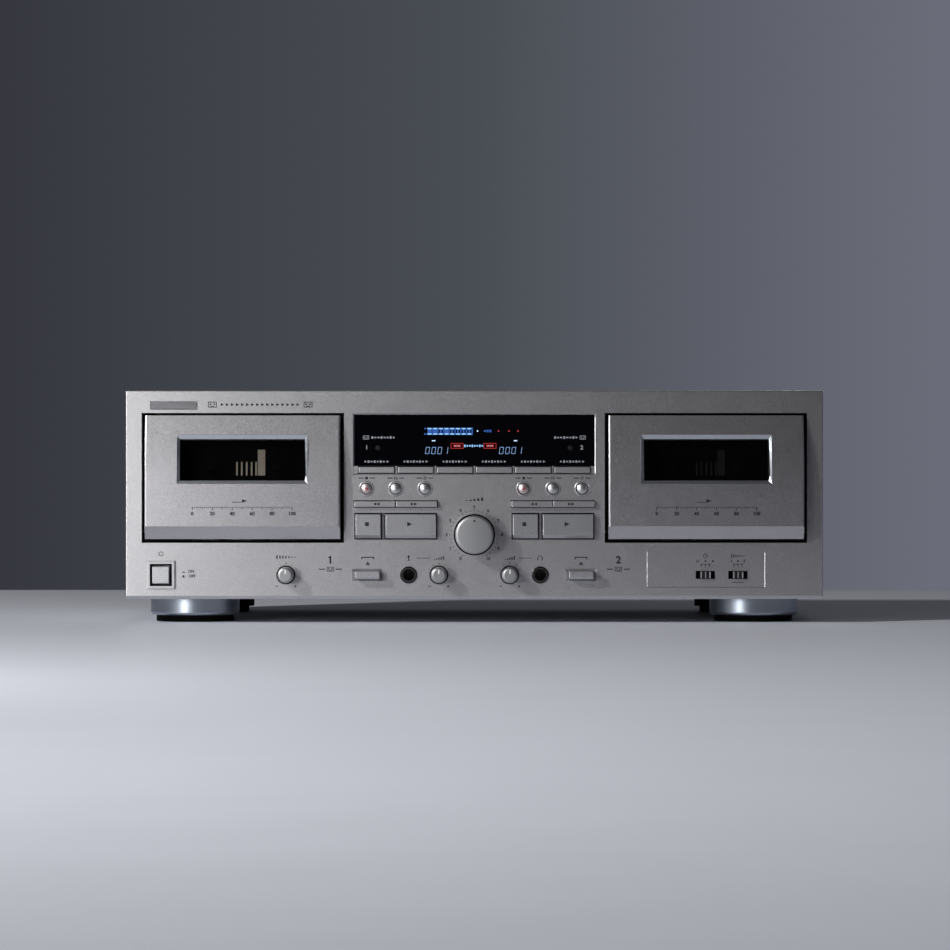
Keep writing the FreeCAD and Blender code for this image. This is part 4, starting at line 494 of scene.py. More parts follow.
RED_PRINT = Finish("Red print", (0.30, 0.045, 0.05), 0.5, 0.0, size=0.2, colour_spread=0.15,
                   bump=0.002)
LAMP_WHITE = Finish("Lamp white", (0.55, 0.72, 0.95), 0.5, colour_spread=0.12, bump=0.0, glow=0.55)
LAMP_PALE = Finish("Lamp pale blue", (0.20, 0.40, 0.66), 0.5, colour_spread=0.2, bump=0.0,
                   glow=0.75)
LAMP_BLUE = Finish("Lamp blue", (0.012, 0.065, 0.27), 0.5, colour_spread=0.3, bump=0.0, glow=0.6)
LAMP_RED = Finish("Lamp red", (0.40, 0.018, 0.015), 0.5, colour_spread=0.2, bump=0.0, glow=0.38)
LAMP_FIGURE = Finish("Lamp figure", (0.20, 0.33, 0.55), 0.5, colour_spread=0.2, bump=0.0, glow=0.5)
# Lamp guide caps: the glow paints the light on deck 1's ribs, and the dimmer glow of the copy
# paints deck 2's ribs in shade; they are no lamps.
GUIDE_PAINTED_LIGHT = Finish("Lamp guide", (0.55, 0.49, 0.40), 0.5, 0.0, Pattern.WOVEN, 0.55,
                    colour_spread=0.6, bump=0.04, glow=0.85)
GUIDE_PAINTED_SHADE = Finish("Lamp guide in shade", (0.06, 0.057, 0.05), 0.5, 0.0, Pattern.WOVEN, 0.55,
                   colour_spread=0.45, bump=0.04, glow=0.22)
NICKEL = Finish("Nickel", (0.66, 0.63, 0.58), 0.2, 1.0, Pattern.LINES, 0.3, (1.0, 0.02, 1.0),
                colour_spread=0.06, bump=0.003)
DARK_NICKEL = Finish("Dark nickel", (0.22, 0.20, 0.17), 0.3, 1.0, Pattern.LINES, 0.3,
                     (1.0, 0.02, 1.0), colour_spread=0.1, bump=0.003)
PHONO_RED = Finish("Phono red", (0.45, 0.02, 0.02), 0.4, 0.0, Pattern.SKIN, 0.4, bump=0.006)
PHONO_WHITE = Finish("Phono white", (0.72, 0.72, 0.70), 0.4, 0.0, Pattern.SKIN, 0.4, bump=0.006)
FLOOR_PALE = Finish("Pale floor", (0.72, 0.74, 0.81), 0.45, 0.0, size=60.0,
                    colour_spread=0.03, roughness_spread=0.04, bump=0.0, specular=0.1)

SLOT_FINISHES: dict[str, Finish] = {
    "panel_metal": PANEL_SILVER, "door_metal": DOOR_SILVER, "smoked_pane": SMOKED,
    "display_pane": DISPLAY_GLASS, "cover_paint": COVER_PAINT, "chassis_steel": CHASSIS_ZINC,
    "rear_paint": REAR_PAINT, "foot_metal": FOOT_METAL, "foot_rubber": RUBBER,
    "key_silver": KEY_SILVER, "slider_plastic": SLIDER_DARK, "black_plastic": BLACK_PLASTIC,
    "socket_black": SOCKET_BLACK, "board_green": BOARD_GREEN, "transformer_iron": CORE_IRON,
    "flywheel_steel": FLYWHEEL, "bridge_steel": BRIDGE, "screw_steel": SCREW,
}
LARGE_KNOB_GREY: Colour = (0.45, 0.45, 0.46)
SMALL_KNOB_GREY: Colour = (0.42, 0.42, 0.43)
OWN_FINISHES: dict[str, Finish] = {
    "record_button_1": RECORD_PINK, "record_button_2": RECORD_PINK,
    "rec_level_knob": turned_metal("Turned level knob", 0.0, DIAL_Z, LARGE_KNOB_GREY),
    "pitch_knob": turned_metal("Turned pitch knob", PITCH_X, CONTROL_Z, SMALL_KNOB_GREY),
    "mic_level_knob": turned_metal("Turned microphone knob", -LEVEL_X, CONTROL_Z,
                                   SMALL_KNOB_GREY),
    "phones_level_knob": turned_metal("Turned headphone knob", LEVEL_X, CONTROL_Z,
                                      SMALL_KNOB_GREY),
}


# ---- Bench
class Facing(Enum):
    """The way a new flat shape faces, as the turn that its primitive gets."""

    FRONT = (math.pi / 2, 0.0, 0.0)
    BACK = (-math.pi / 2, 0.0, 0.0)
    UP = (0.0, 0.0, 0.0)
    LEFT = (0.0, -math.pi / 2, 0.0)


class Bench:
    """One mesh that is shaped in edit mode, at its own place."""

    def __init__(self, name: str) -> None:
        """Lays out an empty mesh and opens it.

        Args:
            name: The piece's name.
        """
        bpy.ops.object.select_all(action="DESELECT")
        self.piece = bpy.data.objects.new(name, bpy.data.meshes.new(name))
        bpy.context.collection.objects.link(self.piece)
        self.open()

    def open(self) -> None:
        """Opens the piece for shaping."""
        self.piece.select_set(True)
        bpy.context.view_layer.objects.active = self.piece
        bpy.ops.object.mode_set(mode="EDIT")
        bpy.ops.mesh.select_mode(type="FACE")

    def choose(self, wanted: Callable[[Vector, Vector], bool]) -> None:
        """Selects faces by their place and the way they face.

        Args:
            wanted: Says yes or no to a face's centre and normal.
        """
        bpy.ops.mesh.select_all(action="DESELECT")
        mesh = bmesh.from_edit_mesh(self.piece.data)
        for face in mesh.faces:
            face.select_set(wanted(face.calc_center_median(), face.normal))
        mesh.select_flush_mode()
        bmesh.update_edit_mesh(self.piece.data)

    def points(self, wanted: Callable[[Vector], bool]) -> None:
        """Selects corners by their place.

        Args:
            wanted: Says yes or no to a corner's place.
        """
        bpy.ops.mesh.select_mode(type="VERT")
        bpy.ops.mesh.select_all(action="DESELECT")
        mesh = bmesh.from_edit_mesh(self.piece.data)
        for corner in mesh.verts:
            corner.select_set(wanted(corner.co))
        mesh.select_flush_mode()
        bmesh.update_edit_mesh(self.piece.data)

    def plate(self, place: Vector, width: float, height: float,
              facing: Facing = Facing.FRONT, turn: float = 0.0) -> None:
        """Adds a flat rectangle, and leaves it selected.

        Args:
            place: Its middle.
            width: Its width.
            height: Its height.
            facing: The way it faces.
            turn: Its turn in degrees, clockwise from the front.
        """
        bpy.ops.mesh.primitive_plane_add(size=width * MM, location=place, rotation=facing.value)
        ratio = height / width
        value = (1.0, ratio, 1.0) if facing is Facing.UP else (1.0, 1.0, ratio)
        bpy.ops.transform.resize(value=value, center_override=place)
        if turn:
            bpy.ops.transform.rotate(value=-math.radians(turn), orient_axis="Y",
                                     center_override=place)

    def disc(self, place: Vector, radius: float, sides: int = 24, facing: Facing = Facing.FRONT,
             turn: float = 0.0) -> None:
        """Adds a flat disc, or a triangle of three sides, and leaves it selected.

        Args:
            place: Its middle.
            radius: Its radius.
            sides: Its number of sides.
            facing: The way it faces.
            turn: Its turn in degrees, clockwise from the front.
        """
        rotation = (facing.value[0], facing.value[1] + math.radians(turn), 0.0)
        bpy.ops.mesh.primitive_circle_add(vertices=sides, radius=radius * MM, fill_type="NGON",
                                          location=place, rotation=rotation)

    def ring(self, place: Vector, outer: float, inner: float, sides: int = 32,
             facing: Facing = Facing.FRONT) -> None:
        """Adds a flat ring, and leaves it selected.

        Args:
            place: Its middle.
            outer: Its outer radius.
            inner: Its inner radius.
            sides: Its number of sides.
            facing: The way it faces.
        """
        self.disc(place, outer, sides, facing)
        bpy.ops.mesh.inset(thickness=(outer - inner) * MM * math.cos(math.pi / sides))
        bpy.ops.mesh.delete(type="FACE")
        self.choose(lambda centre, normal: (centre - place).length < outer * MM)

    def frame(self, place: Vector, width: float, height: float, line: float,
              facing: Facing = Facing.FRONT) -> None:
        """Adds a flat rectangular frame, and leaves it selected.

        Args:
            place: Its middle.
            width: Its outer width.
            height: Its outer height.
            line: The width of its line.
            facing: The way it faces.
        """
        self.plate(place, width, height, facing)
        bpy.ops.mesh.inset(thickness=line * MM)
        bpy.ops.mesh.delete(type="FACE")
        reach = math.hypot(width, height) / 2 * MM
        self.choose(lambda centre, normal: (centre - place).length < reach)

    def pull(self, x: float = 0.0, depth: float = 0.0, z: float = 0.0) -> None:
        """Extrudes what is selected.

        Args:
            x: How far to the right.
            depth: How far back.
            z: How far up.
        """
        bpy.ops.mesh.extrude_region_move(
            TRANSFORM_OT_translate={"value": (x * MM, depth * MM, z * MM)})

    def slope(self, width: float, rise: float) -> None:
        """Bevels the rims of the front faces that are selected.

        Args:
            width: The width of the bevel.
            rise: How far the faces move forwards.
        """
        bpy.ops.mesh.inset(thickness=width * MM)
        bpy.ops.transform.translate(value=(0.0, -rise * MM, 0.0))

    def washer(self, x: float, z: float, outer: float, inner: float, front: float, back: float,
               sides: int = 40) -> None:
        """Adds a solid ring that lies against the panel.

        Args:
            x: Its middle from left to right.
            z: Its middle's height.
            outer: Its outer radius.
            inner: Its inner radius.
            front: The depth of its front.
            back: The depth of its back.
            sides: Its number of sides.
        """
        self.ring(at(x, back, z), outer, inner, sides)
        self.pull(depth=front - back)

    def seal(self, x: float, z: float, width: float, height: float, line: float,
             front: float, back: float) -> None:
        """Adds a solid rectangular frame round a key.

        Args:
            x: Its middle from left to right.
            z: Its middle's height.
            width: Its outer width.
            height: Its outer height.
            line: The width of its line.
            front: The depth of its front.
            back: The depth of its back.
        """
        self.frame(at(x, back, z), width, height, line)
        self.pull(depth=front - back)

    def taper(self, near: Box, far: Box, front: float, back: float) -> None:
        """Adds the four walls of a tapering passage, open at both ends.

        Args:
            near: Middle x, middle z, width and height of its front end.
            far: The same of its back end.
            front: The depth of its front end.
            back: The depth of its back end.
        """
        self.plate(at(near[0], front, near[1]), near[2], near[3])
        self.pull(far[0] - near[0], back - front, far[1] - near[1])
        self.scale(at(far[0], back, far[1]), far[2] / near[2], 1.0, far[3] / near[3])
        bpy.ops.mesh.delete(type="FACE")
        nearest = at(0.0, front, 0.0).y
        self.choose(lambda centre, normal: abs(centre.y - nearest) < 1e-6)
        bpy.ops.mesh.delete(type="FACE")

    def thicken(self, wall: float) -> None:
        """Ends the shaping of open walls and gives them a thickness outwards.

        Args:
            wall: The thickness.
        """
        bpy.ops.mesh.select_all(action="SELECT")
        bpy.ops.mesh.remove_doubles(threshold=0.001 * MM)
        bpy.ops.mesh.normals_make_consistent(inside=True)
        bpy.ops.object.mode_set(mode="OBJECT")
        solid = self.piece.modifiers.new("Wall", "SOLIDIFY")
        solid.thickness = wall * MM
        solid.offset = -1.0
        bpy.ops.object.modifier_apply(modifier="Wall")

    def scale(self, place: Vector, across: float, along: float, up: float) -> None:
        """Resizes what is selected about a place.

        Args:
            place: The point that stays.
            across: The factor along X.
            along: The factor along Y.
            up: The factor along Z.
        """
        bpy.ops.transform.resize(value=(across, along, up), center_override=place)

    def close(self, smooth: float = 0.0) -> bpy.types.Object:
        """Turns all faces outwards and ends the shaping.

        Args:
            smooth: The angle in degrees under which edges are shaded soft.

        Returns:
            The finished piece.
        """
        bpy.ops.mesh.select_all(action="SELECT")
        bpy.ops.mesh.normals_make_consistent(inside=False)
        bpy.ops.object.mode_set(mode="OBJECT")
        if smooth:
            bpy.ops.object.shade_smooth_by_angle(angle=math.radians(smooth))
        return self.piece


@dataclass(frozen=True)
class Copy:
    """A further place for a piece, and what its name and its body's have there instead."""

    old: str
    new: str
    shift: Point
    finish: Finish | None = None


def settle(piece: bpy.types.Object, finish: Finish, body: str, slot: str,
           *copies: Copy) -> None:
    """Dresses a finished piece and hangs it on its body, and does the same for its copies.

    Args:
        piece: The piece.
        finish: Its finish.
        body: The body that it moves with.
        slot: The record's material slot that it belongs to; not used.
        copies: Its further places, each of which gets a mesh of its own.
    """
    for copy in copies:
        twin = bpy.data.objects.new(piece.name.replace(copy.old, copy.new), piece.data.copy())
        twin.data.name = twin.name
        twin.data.transform(Matrix.Translation(Vector(copy.shift) * MM))
        bpy.context.collection.objects.link(twin)
        settle(twin, copy.finish or finish, body.replace(copy.old, copy.new), slot)
    finish.dress(piece)
    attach(piece, body)
    LOG.info("%s rides on %s, %d faces", piece.name, body, len(piece.data.polygons))


class Stencil(Bench):
    """Flat marks at one depth that are given a thin body together."""

    def __init__(self, name: str, depth: float, facing: Facing = Facing.FRONT) -> None:
        """Starts a sheet of marks.

        Args:
            name: The piece's name.
            depth: The depth of the surface that carries the marks.
            facing: The way they face.
        """
        super().__init__(name)
        self.depth = depth
        self.facing = facing
        self.texts: list[tuple[str, float, float, float]] = []

    def spot(self, x: float, z: float) -> Vector:
        """Gives the point of a mark on the sheet."""
        return at(x, self.depth, z)

    def bar(self, x: float, z: float, width: float, height: float, turn: float = 0.0) -> None:
        """Prints a bar.

        Args:
            x: Its middle from left to right.
            z: Its middle's height.
            width: Its width.
            height: Its height.
            turn: Its turn in degrees, clockwise.
        """
        self.plate(self.spot(x, z), width, height, self.facing, turn)

    def wedge(self, x: float, z: float, width: float, height: float, turn: float = 0.0) -> None:
        """Prints a triangle that points up, or the way it is turned.

        Args:
            x: The middle of its box.
            z: The middle of its box.
            width: The length of its foot.
            height: The length from foot to tip.
            turn: 0, 90, 180 or 270 degrees, clockwise.
        """
        sine, cosine = math.sin(math.radians(turn)), math.cos(math.radians(turn))
        radius = height / 1.5
        drop = (height - radius) / 2
        middle = self.spot(x - sine * drop, z - cosine * drop)
        self.disc(middle, radius, 3, self.facing, turn)
        factor = width / (radius * math.sqrt(3))
        upright = abs(cosine) > 0.5
        self.scale(middle, factor if upright else 1.0, 1.0, 1.0 if upright else factor)

    def dot(self, x: float, z: float, radius: float, sides: int = 16) -> None:
        """Prints a round dot.

        Args:
            x: Its middle from left to right.
            z: Its middle's height.
            radius: Its radius.
            sides: Its number of sides.
        """
        self.disc(self.spot(x, z), radius, sides, self.facing)

    def loop(self, x: float, z: float, radius: float, line: float, sides: int = 20) -> None:
        """Prints a circle.

        Args:
            x: Its middle from left to right.
            z: Its middle's height.
            radius: Its outer radius.
            line: The width of its line.
            sides: Its number of sides.
        """
        self.ring(self.spot(x, z), radius, radius - line, sides, self.facing)

    def arch(self, x: float, z: float, radius: float, line: float, above: float) -> None:
        """Prints the part of a circle that lies above a height.

        Args:
            x: Its middle from left to right.
            z: Its middle's height.
            radius: Its outer radius.
            line: The width of its line.
            above: The height over the middle under which the line is left out.
        """
        self.loop(x, z, radius, line, 24)
        place = self.spot(x, z)
        self.choose(lambda centre, normal: (centre - place).length < radius * MM
                    and centre.z < place.z + above * MM)
        bpy.ops.mesh.delete(type="FACE")

    def box(self, x: float, z: float, width: float, height: float, line: float) -> None:
        """Prints a rectangle's outline.

        Args:
            x: Its middle from left to right.
            z: Its middle's height.
            width: Its outer width.
            height: Its outer height.
            line: The width of its line.
        """
        self.frame(self.spot(x, z), width, height, line, self.facing)

    def text(self, words: str, x: float, z: float, height: float) -> None:
        """Notes a plain number or ON or OFF, to be printed when the sheet is closed.

        Args:
            words: The characters.
            x: Their middle from left to right.
            z: Their middle's height.
            height: The height of a figure.
        """
        self.texts.append((words, x, z, height))

    def set_type(self) -> None:
        """Makes the noted characters into faces of the sheet, at the depth it ends with."""
        bpy.ops.object.mode_set(mode="OBJECT")
        made = []
        turn = (math.pi / 2, 0.0, math.pi if self.facing is Facing.BACK else 0.0)
        for words, x, z, height in self.texts:
            bpy.ops.object.text_add(location=self.spot(x, z), rotation=turn)
            label = bpy.context.object
            label.data.body = words
            label.data.size = height / FIGURE_SHARE * MM
            label.data.align_x = "CENTER"
            label.data.align_y = "CENTER"
            label.data.fill_mode = "FRONT"
            label.data.resolution_u = 3
            label.data.offset = FIGURE_BOLD * height * MM
            bpy.ops.object.convert(target="MESH")
            bpy.ops.object.transform_apply(location=True, rotation=True, scale=True)
            made.append(bpy.context.object)
        bpy.ops.object.select_all(action="DESELECT")
        for label in made:
            label.select_set(True)
        self.piece.select_set(True)
        bpy.context.view_layer.objects.active = self.piece
        if made:
            bpy.ops.object.join()
        self.open()

    def press(self, height: float = PRINT_HEIGHT) -> bpy.types.Object:
        """Gives the marks their body and ends the sheet.

        Args:
            height: How far they stand off the surface.

        Returns:
            The finished piece.
        """
        self.set_type()
        bpy.ops.mesh.select_all(action="SELECT")
        self.pull(depth=height if self.facing is Facing.BACK else -height)
        return self.close()


class Pictograms(Stencil):
    """A stencil that also knows the small signs of a tape deck."""

    def cassette(self, x: float, z: float, height: float) -> None:
        """Prints a cassette.

        Args:
            x: Its middle from left to right.
            z: Its middle's height.
            height: Its height.
        """
        line = height * 0.13
        self.box(x, z, height * 1.55, height, line)
        for side in (-1, 1):
            self.loop(x + side * height * 0.34, z + height * 0.06, height * 0.17, line, 12)
        self.bar(x, z - height * 0.33, height * 0.7, line)

    def power(self, x: float, z: float, height: float) -> None:
        """Prints a broken circle with a stroke in its gap.

        Args:
            x: Its middle from left to right.
            z: Its middle's height.
            height: Its height.
        """
        radius = height * 0.45
        place = self.spot(x, z)
        self.loop(x, z, radius, height * 0.12, 24)
        self.choose(lambda centre, normal: (centre - place).length < radius * MM
                    and centre.z > place.z and abs(centre.x - place.x) < radius * 0.5 * MM)
        bpy.ops.mesh.delete(type="FACE")
        self.bar(x, z + radius * 0.75, height * 0.12, radius * 0.95)

    def headphones(self, x: float, z: float, height: float) -> None:
        """Prints a pair of headphones.

        Args:
            x: Their middle from left to right.
            z: Their middle's height.
            height: Their height.
        """
        radius = height * 0.5
        self.arch(x, z - height * 0.05, radius, height * 0.12, 0.0)
        for side in (-1, 1):
            self.bar(x + side * (radius - height * 0.09), z - height * 0.26, height * 0.2,
                     height * 0.42)

    def microphone(self, x: float, z: float, height: float) -> None:
        """Prints a microphone.

        Args:
            x: Its middle from left to right.
            z: Its middle's height.
            height: Its height.
        """
        self.dot(x, z + height * 0.26, height * 0.22, 14)
        self.bar(x, z - height * 0.16, height * 0.16, height * 0.62)
        self.bar(x, z - height * 0.46, height * 0.5, height * 0.08)

    def level(self, x: float, z: float, width: float, height: float) -> None:
        """Prints a rising wedge of bars.

        Args:
            x: Its middle from left to right.
            z: Its middle's height.
            width: Its width.
            height: The height of its last bar.
        """
        steps = 5
        for index in range(steps):
            rise = height * (index + 1) / steps
            self.bar(x + width * ((index + 0.5) / steps - 0.5), z - height / 2 + rise / 2,
                     width / steps * 0.55, rise)

    def clock(self, x: float, z: float, height: float) -> None:
        """Prints a clock face.

        Args:
            x: Its middle from left to right.
            z: Its middle's height.
            height: Its height.
        """
        line = height * 0.11
        self.loop(x, z, height / 2, line, 20)
        self.bar(x, z + height * 0.14, line, height * 0.3)
        self.bar(x + height * 0.11, z, height * 0.24, line)

    def wave(self, x: float, z: float, width: float, height: float) -> None:
        """Prints a fading row of strokes.

        Args:
            x: Its middle from left to right.
            z: Its middle's height.
            width: Its width.
            height: The height of its tallest stroke.
        """
        steps = 7
        for index in range(steps):
            self.bar(x + width * ((index + 0.5) / steps - 0.5), z, width / steps * 0.45,
                     height * (1 - 0.8 * index / (steps - 1)))

    def double_wedge(self, x: float, z: float, width: float, height: float, turn: float) -> None:
        """Prints the two triangles of fast winding.

        Args:
            x: Their middle from left to right.
            z: Their middle's height.
            width: The width of both together.
            height: Their height.
            turn: 90 to point right, 270 to point left.
        """
        for side in (-1, 1):
            self.wedge(x + side * width / 4, z, height, width / 2 * 0.94, turn)

    def strokes(self, x: float, z: float, count: int, pitch: float, width: float,
                heights: tuple[float, ...]) -> None:
        """Prints a row of short strokes that stands for a word.

        Args:
            x: The first one's middle from left to right.
            z: The row's middle height.
            count: The number of strokes.
            pitch: The distance from one to the next.
            width: The width of each.
            heights: Their heights, which repeat along the row.
        """
        for index in range(count):
            self.bar(x + index * pitch, z, width, heights[index % len(heights)])


# ---- Sub-assemblies
@dataclass(frozen=True)
class DeckPlace:
    """Where one of the two decks stands, with its cluster of keys and its eject key."""

    number: int
    deck_x: float
    cluster_x: float
    eject_x: float

    @property
    def side(self) -> int:
        """Gives -1 for the left deck and 1 for the right one."""
        return -1 if self.deck_x < 0 else 1


DECKS = (DeckPlace(1, -144.4, -49.0, -66.5), DeckPlace(2, 144.4, 49.0, 66.5))
DOOR_COPY = Copy("_1", "_2", (DECKS[1].deck_x - DECKS[0].deck_x, 0.0, 0.0))
# Deck 2's lamp guide gets the dimmer glow, which is painted shade.
GUIDE_COPY = Copy("_1", "_2", DOOR_COPY.shift, GUIDE_PAINTED_SHADE)
CLUSTER_COPY = Copy("_1", "_2", (DECKS[1].cluster_x - DECKS[0].cluster_x, 0.0, 0.0))
KNOB_COPIES = tuple(Copy("pitch_knob", name, (x - PITCH_X, 0.0, 0.0))
                    for name, x in SMALL_KNOBS.items() if x != PITCH_X)


@dataclass
class Casework:
    """The carried-over pieces of the frame, each in the finish of its slot."""

    finishes: dict[str, Finish] = field(default_factory=lambda: dict(SLOT_FINISHES))
    own: dict[str, Finish] = field(default_factory=lambda: dict(OWN_FINISHES))

    def build(self, frame: dict) -> None:
        """Dresses every node of the frame.
        """
        slots = {part["node"]: part["material_slot"] for part in frame["record"]["subparts"]}
        for name, piece in frame["nodes"].items():
            finish = self.own.get(name) or self.finishes[slots[name]]
            finish.dress(piece)
            LOG.info("%s is dressed in %s", name, finish.name)


@dataclass
class Nameplate:
    """The bare brushed bar at the panel's upper left, with its bevelled rim."""

    x: float = -187.6
    z: float = 135.7
    width: float = 29.3
    height: float = 5.4
    rise: float = 0.4
    bar_share: float = 0.55
    rim: float = 0.45
    rim_bevel: Span = (0.14, 0.12)

    def build(self) -> None:
        """Builds the bar and its rim."""
        bar = Bench("nameplate")
        bar.plate(at(self.x, 0.0, self.z), self.width - 2 * self.rim, self.height - 2 * self.rim)
        bar.pull(depth=-self.rise * self.bar_share)
        settle(bar.close(), NAMEPLATE, "case", "panel_metal")
        rim = Bench("nameplate_rim")
        rim.seal(self.x, self.z, self.width, self.height, self.rim, -self.rise, 0.0)
        rim.choose(lambda centre, normal: normal.y < -0.9)
        rim.slope(*self.rim_bevel)
        settle(rim.close(), POLISHED, "case", "panel_metal")


@dataclass
class ShadowGaps:
    """Black liners, frames and washers that paint the shade in the gaps of the front."""

    key_z: float = 60.4
    key_height: float = 15.0
    key_spans: tuple[Span, ...] = ((-17.2, 15.7), (9.35, 31.4))
    key_depths: Span = (-0.02, 0.6)
    key_line: float = 0.66
    key_margin: float = 0.72
    shuttle_width: float = 51.7
    shuttle_height: float = 3.65
    shuttle_depths: Span = (-0.04, 0.1)
    row_z: float = 95.55
    row_width: float = 22.2
    row_height: float = 3.7
    row_depths: Span = (0.7, 0.9)
    seal_line: float = 0.42
    seal_margin: float = 0.5
    button_radii: Span = (3.9, 3.26)
    button_depths: Span = (-0.12, 0.4)
    large_well: float = 12.93
    small_well: float = 5.8
    shaft: float = 3.5
    well_depths: Span = (1.0, 1.2)
    lining: float = 0.1
    lining_front: float = 0.02
    funnel_mouth: float = 13.5
    funnel_throat: float = 11.3
    funnel_depths: Span = (-1.42, 1.4)
    funnel_wall: float = 0.05

    def build(self) -> None:
        """Builds one piece for each kind of gap."""
        self.key_seals()
        self.knob_washers()
        self.power_liner()

    def key_seals(self) -> None:
        """Builds the black frames that paint the shade round the transport keys, the round buttons
        and the row keys.
        """
        bench = Bench("key_seals")
        wide, slim = 2 * self.key_margin, 2 * self.seal_margin
        for deck in DECKS:
            for offset, width in self.key_spans:
                bench.seal(deck.cluster_x + offset, self.key_z, width + wide,
                           self.key_height + wide, self.key_line, *self.key_depths)
            bench.seal(deck.cluster_x, SHUTTLE_Z, self.shuttle_width + slim,
                       self.shuttle_height + slim, self.seal_line, *self.shuttle_depths)
            for offset in BUTTON_OFFSETS:
                bench.washer(deck.cluster_x + offset, BUTTON_Z, *self.button_radii,
                             *self.button_depths)
        for index in range(ROW_KEYS):
            bench.seal(row_x(index), self.row_z, self.row_width + slim, self.row_height + slim,
                       self.seal_line, *self.row_depths)
        settle(bench.close(), PAINTED_SHADE_BLACK, "case", "black_plastic")

    def knob_washers(self) -> None:
        """Builds the black washers that paint the shade in the wells behind the knobs, and the
        large well's black lining of painted shade.
        """
        bench = Bench("knob_washers")
        front, back = self.well_depths
        bench.washer(0.0, DIAL_Z, self.large_well, self.shaft, front, back, 64)
        bench.washer(0.0, DIAL_Z, self.large_well, self.large_well - self.lining,
                     self.lining_front, front, 64)
        for x in SMALL_KNOBS.values():
            bench.washer(x, CONTROL_Z, self.small_well, self.shaft, front, back)
        settle(bench.close(), PAINTED_SHADE_BLACK, "case", "black_plastic")

    def power_liner(self) -> None:
        """Builds the dark lining that paints the shade in the power key's square funnel."""
        bench = Bench("power_liner")
        bench.taper((POWER_X, CONTROL_Z, self.funnel_mouth, self.funnel_mouth),
                    (POWER_X, CONTROL_Z, self.funnel_throat, self.funnel_throat),
                    *self.funnel_depths)
        bench.thicken(self.funnel_wall)
        settle(bench.piece, BLACK_PLASTIC, "case", "black_plastic")


@dataclass
class BrightTrim:
    """The metal rings of the sockets and buttons, and the panel edges that catch the light."""

    jack_radii: Span = (4.35, 3.95)
    jack_depths: Span = (-0.98, -0.85)
    ring_radii: Span = (4.8, 4.15)
    ring_depths: Span = (-0.1, 0.0)
    ring_bevel: Span = (0.22, 0.16)
    edge_slope: float = 0.34
    edge_width: float = 0.42
    edge_body: float = 0.12
    upright_edges: tuple[Box, ...] = ((75.35, -0.12, 93.6, 128.4), (107.65, 0.2, 22.4, 44.2),
                                      (181.15, 0.2, 22.4, 44.2))
    level_edge: Box = (144.4, 0.24, 22.35, 73.0)

    def build(self) -> None:
        """Builds one piece for each kind of trim."""
        self.jack_rings()
        self.button_rings()
        self.bright_edges()

    def jack_rings(self) -> None:
        """Builds the dull metal ring in the face of each jack."""
        bench = Bench("jack_rings")
        for x in (-JACK_X, JACK_X):
            bench.washer(x, CONTROL_Z, *self.jack_radii, *self.jack_depths)
        settle(bench.close(40.0), DARK_NICKEL, "case", "socket_black")

    def button_rings(self) -> None:
        """Builds the bevelled bright ring round each small round button."""
        bench = Bench("button_rings")
        for deck in DECKS:
            for offset in BUTTON_OFFSETS:
                bench.washer(deck.cluster_x + offset, BUTTON_Z, *self.ring_radii,
                             *self.ring_depths, 48)
        bench.choose(lambda centre, normal: normal.y < -0.9)
        bench.slope(*self.ring_bevel)
        settle(bench.close(30.0), TRIM_SILVER, "case", "panel_metal")

    def bright_edges(self) -> None:
        """Builds the slim ramps beside and under the sunken fields."""
        bench = Bench("bright_edges")
        for x, depth, low, high in self.upright_edges:
            self.ramp(bench, at(x, depth, (low + high) / 2), self.edge_width, high - low, "Z")
        x, depth, z, length = self.level_edge
        self.ramp(bench, at(x, depth, z), length, self.edge_width, "X")
        settle(bench.close(), KEY_SILVER, "case", "panel_metal")

    def ramp(self, bench: Bench, place: Vector, width: float, height: float, axis: str) -> None:
        """Adds one tilted strip.

        Args:
            bench: The bench that takes it.
            place: Its middle.
            width: Its width.
            height: Its height.
            axis: The axis that it is tilted about.
        """
        bench.plate(place, width, height)
        bpy.ops.transform.rotate(value=self.edge_slope, orient_axis=axis, center_override=place)
        bench.pull(depth=self.edge_body)


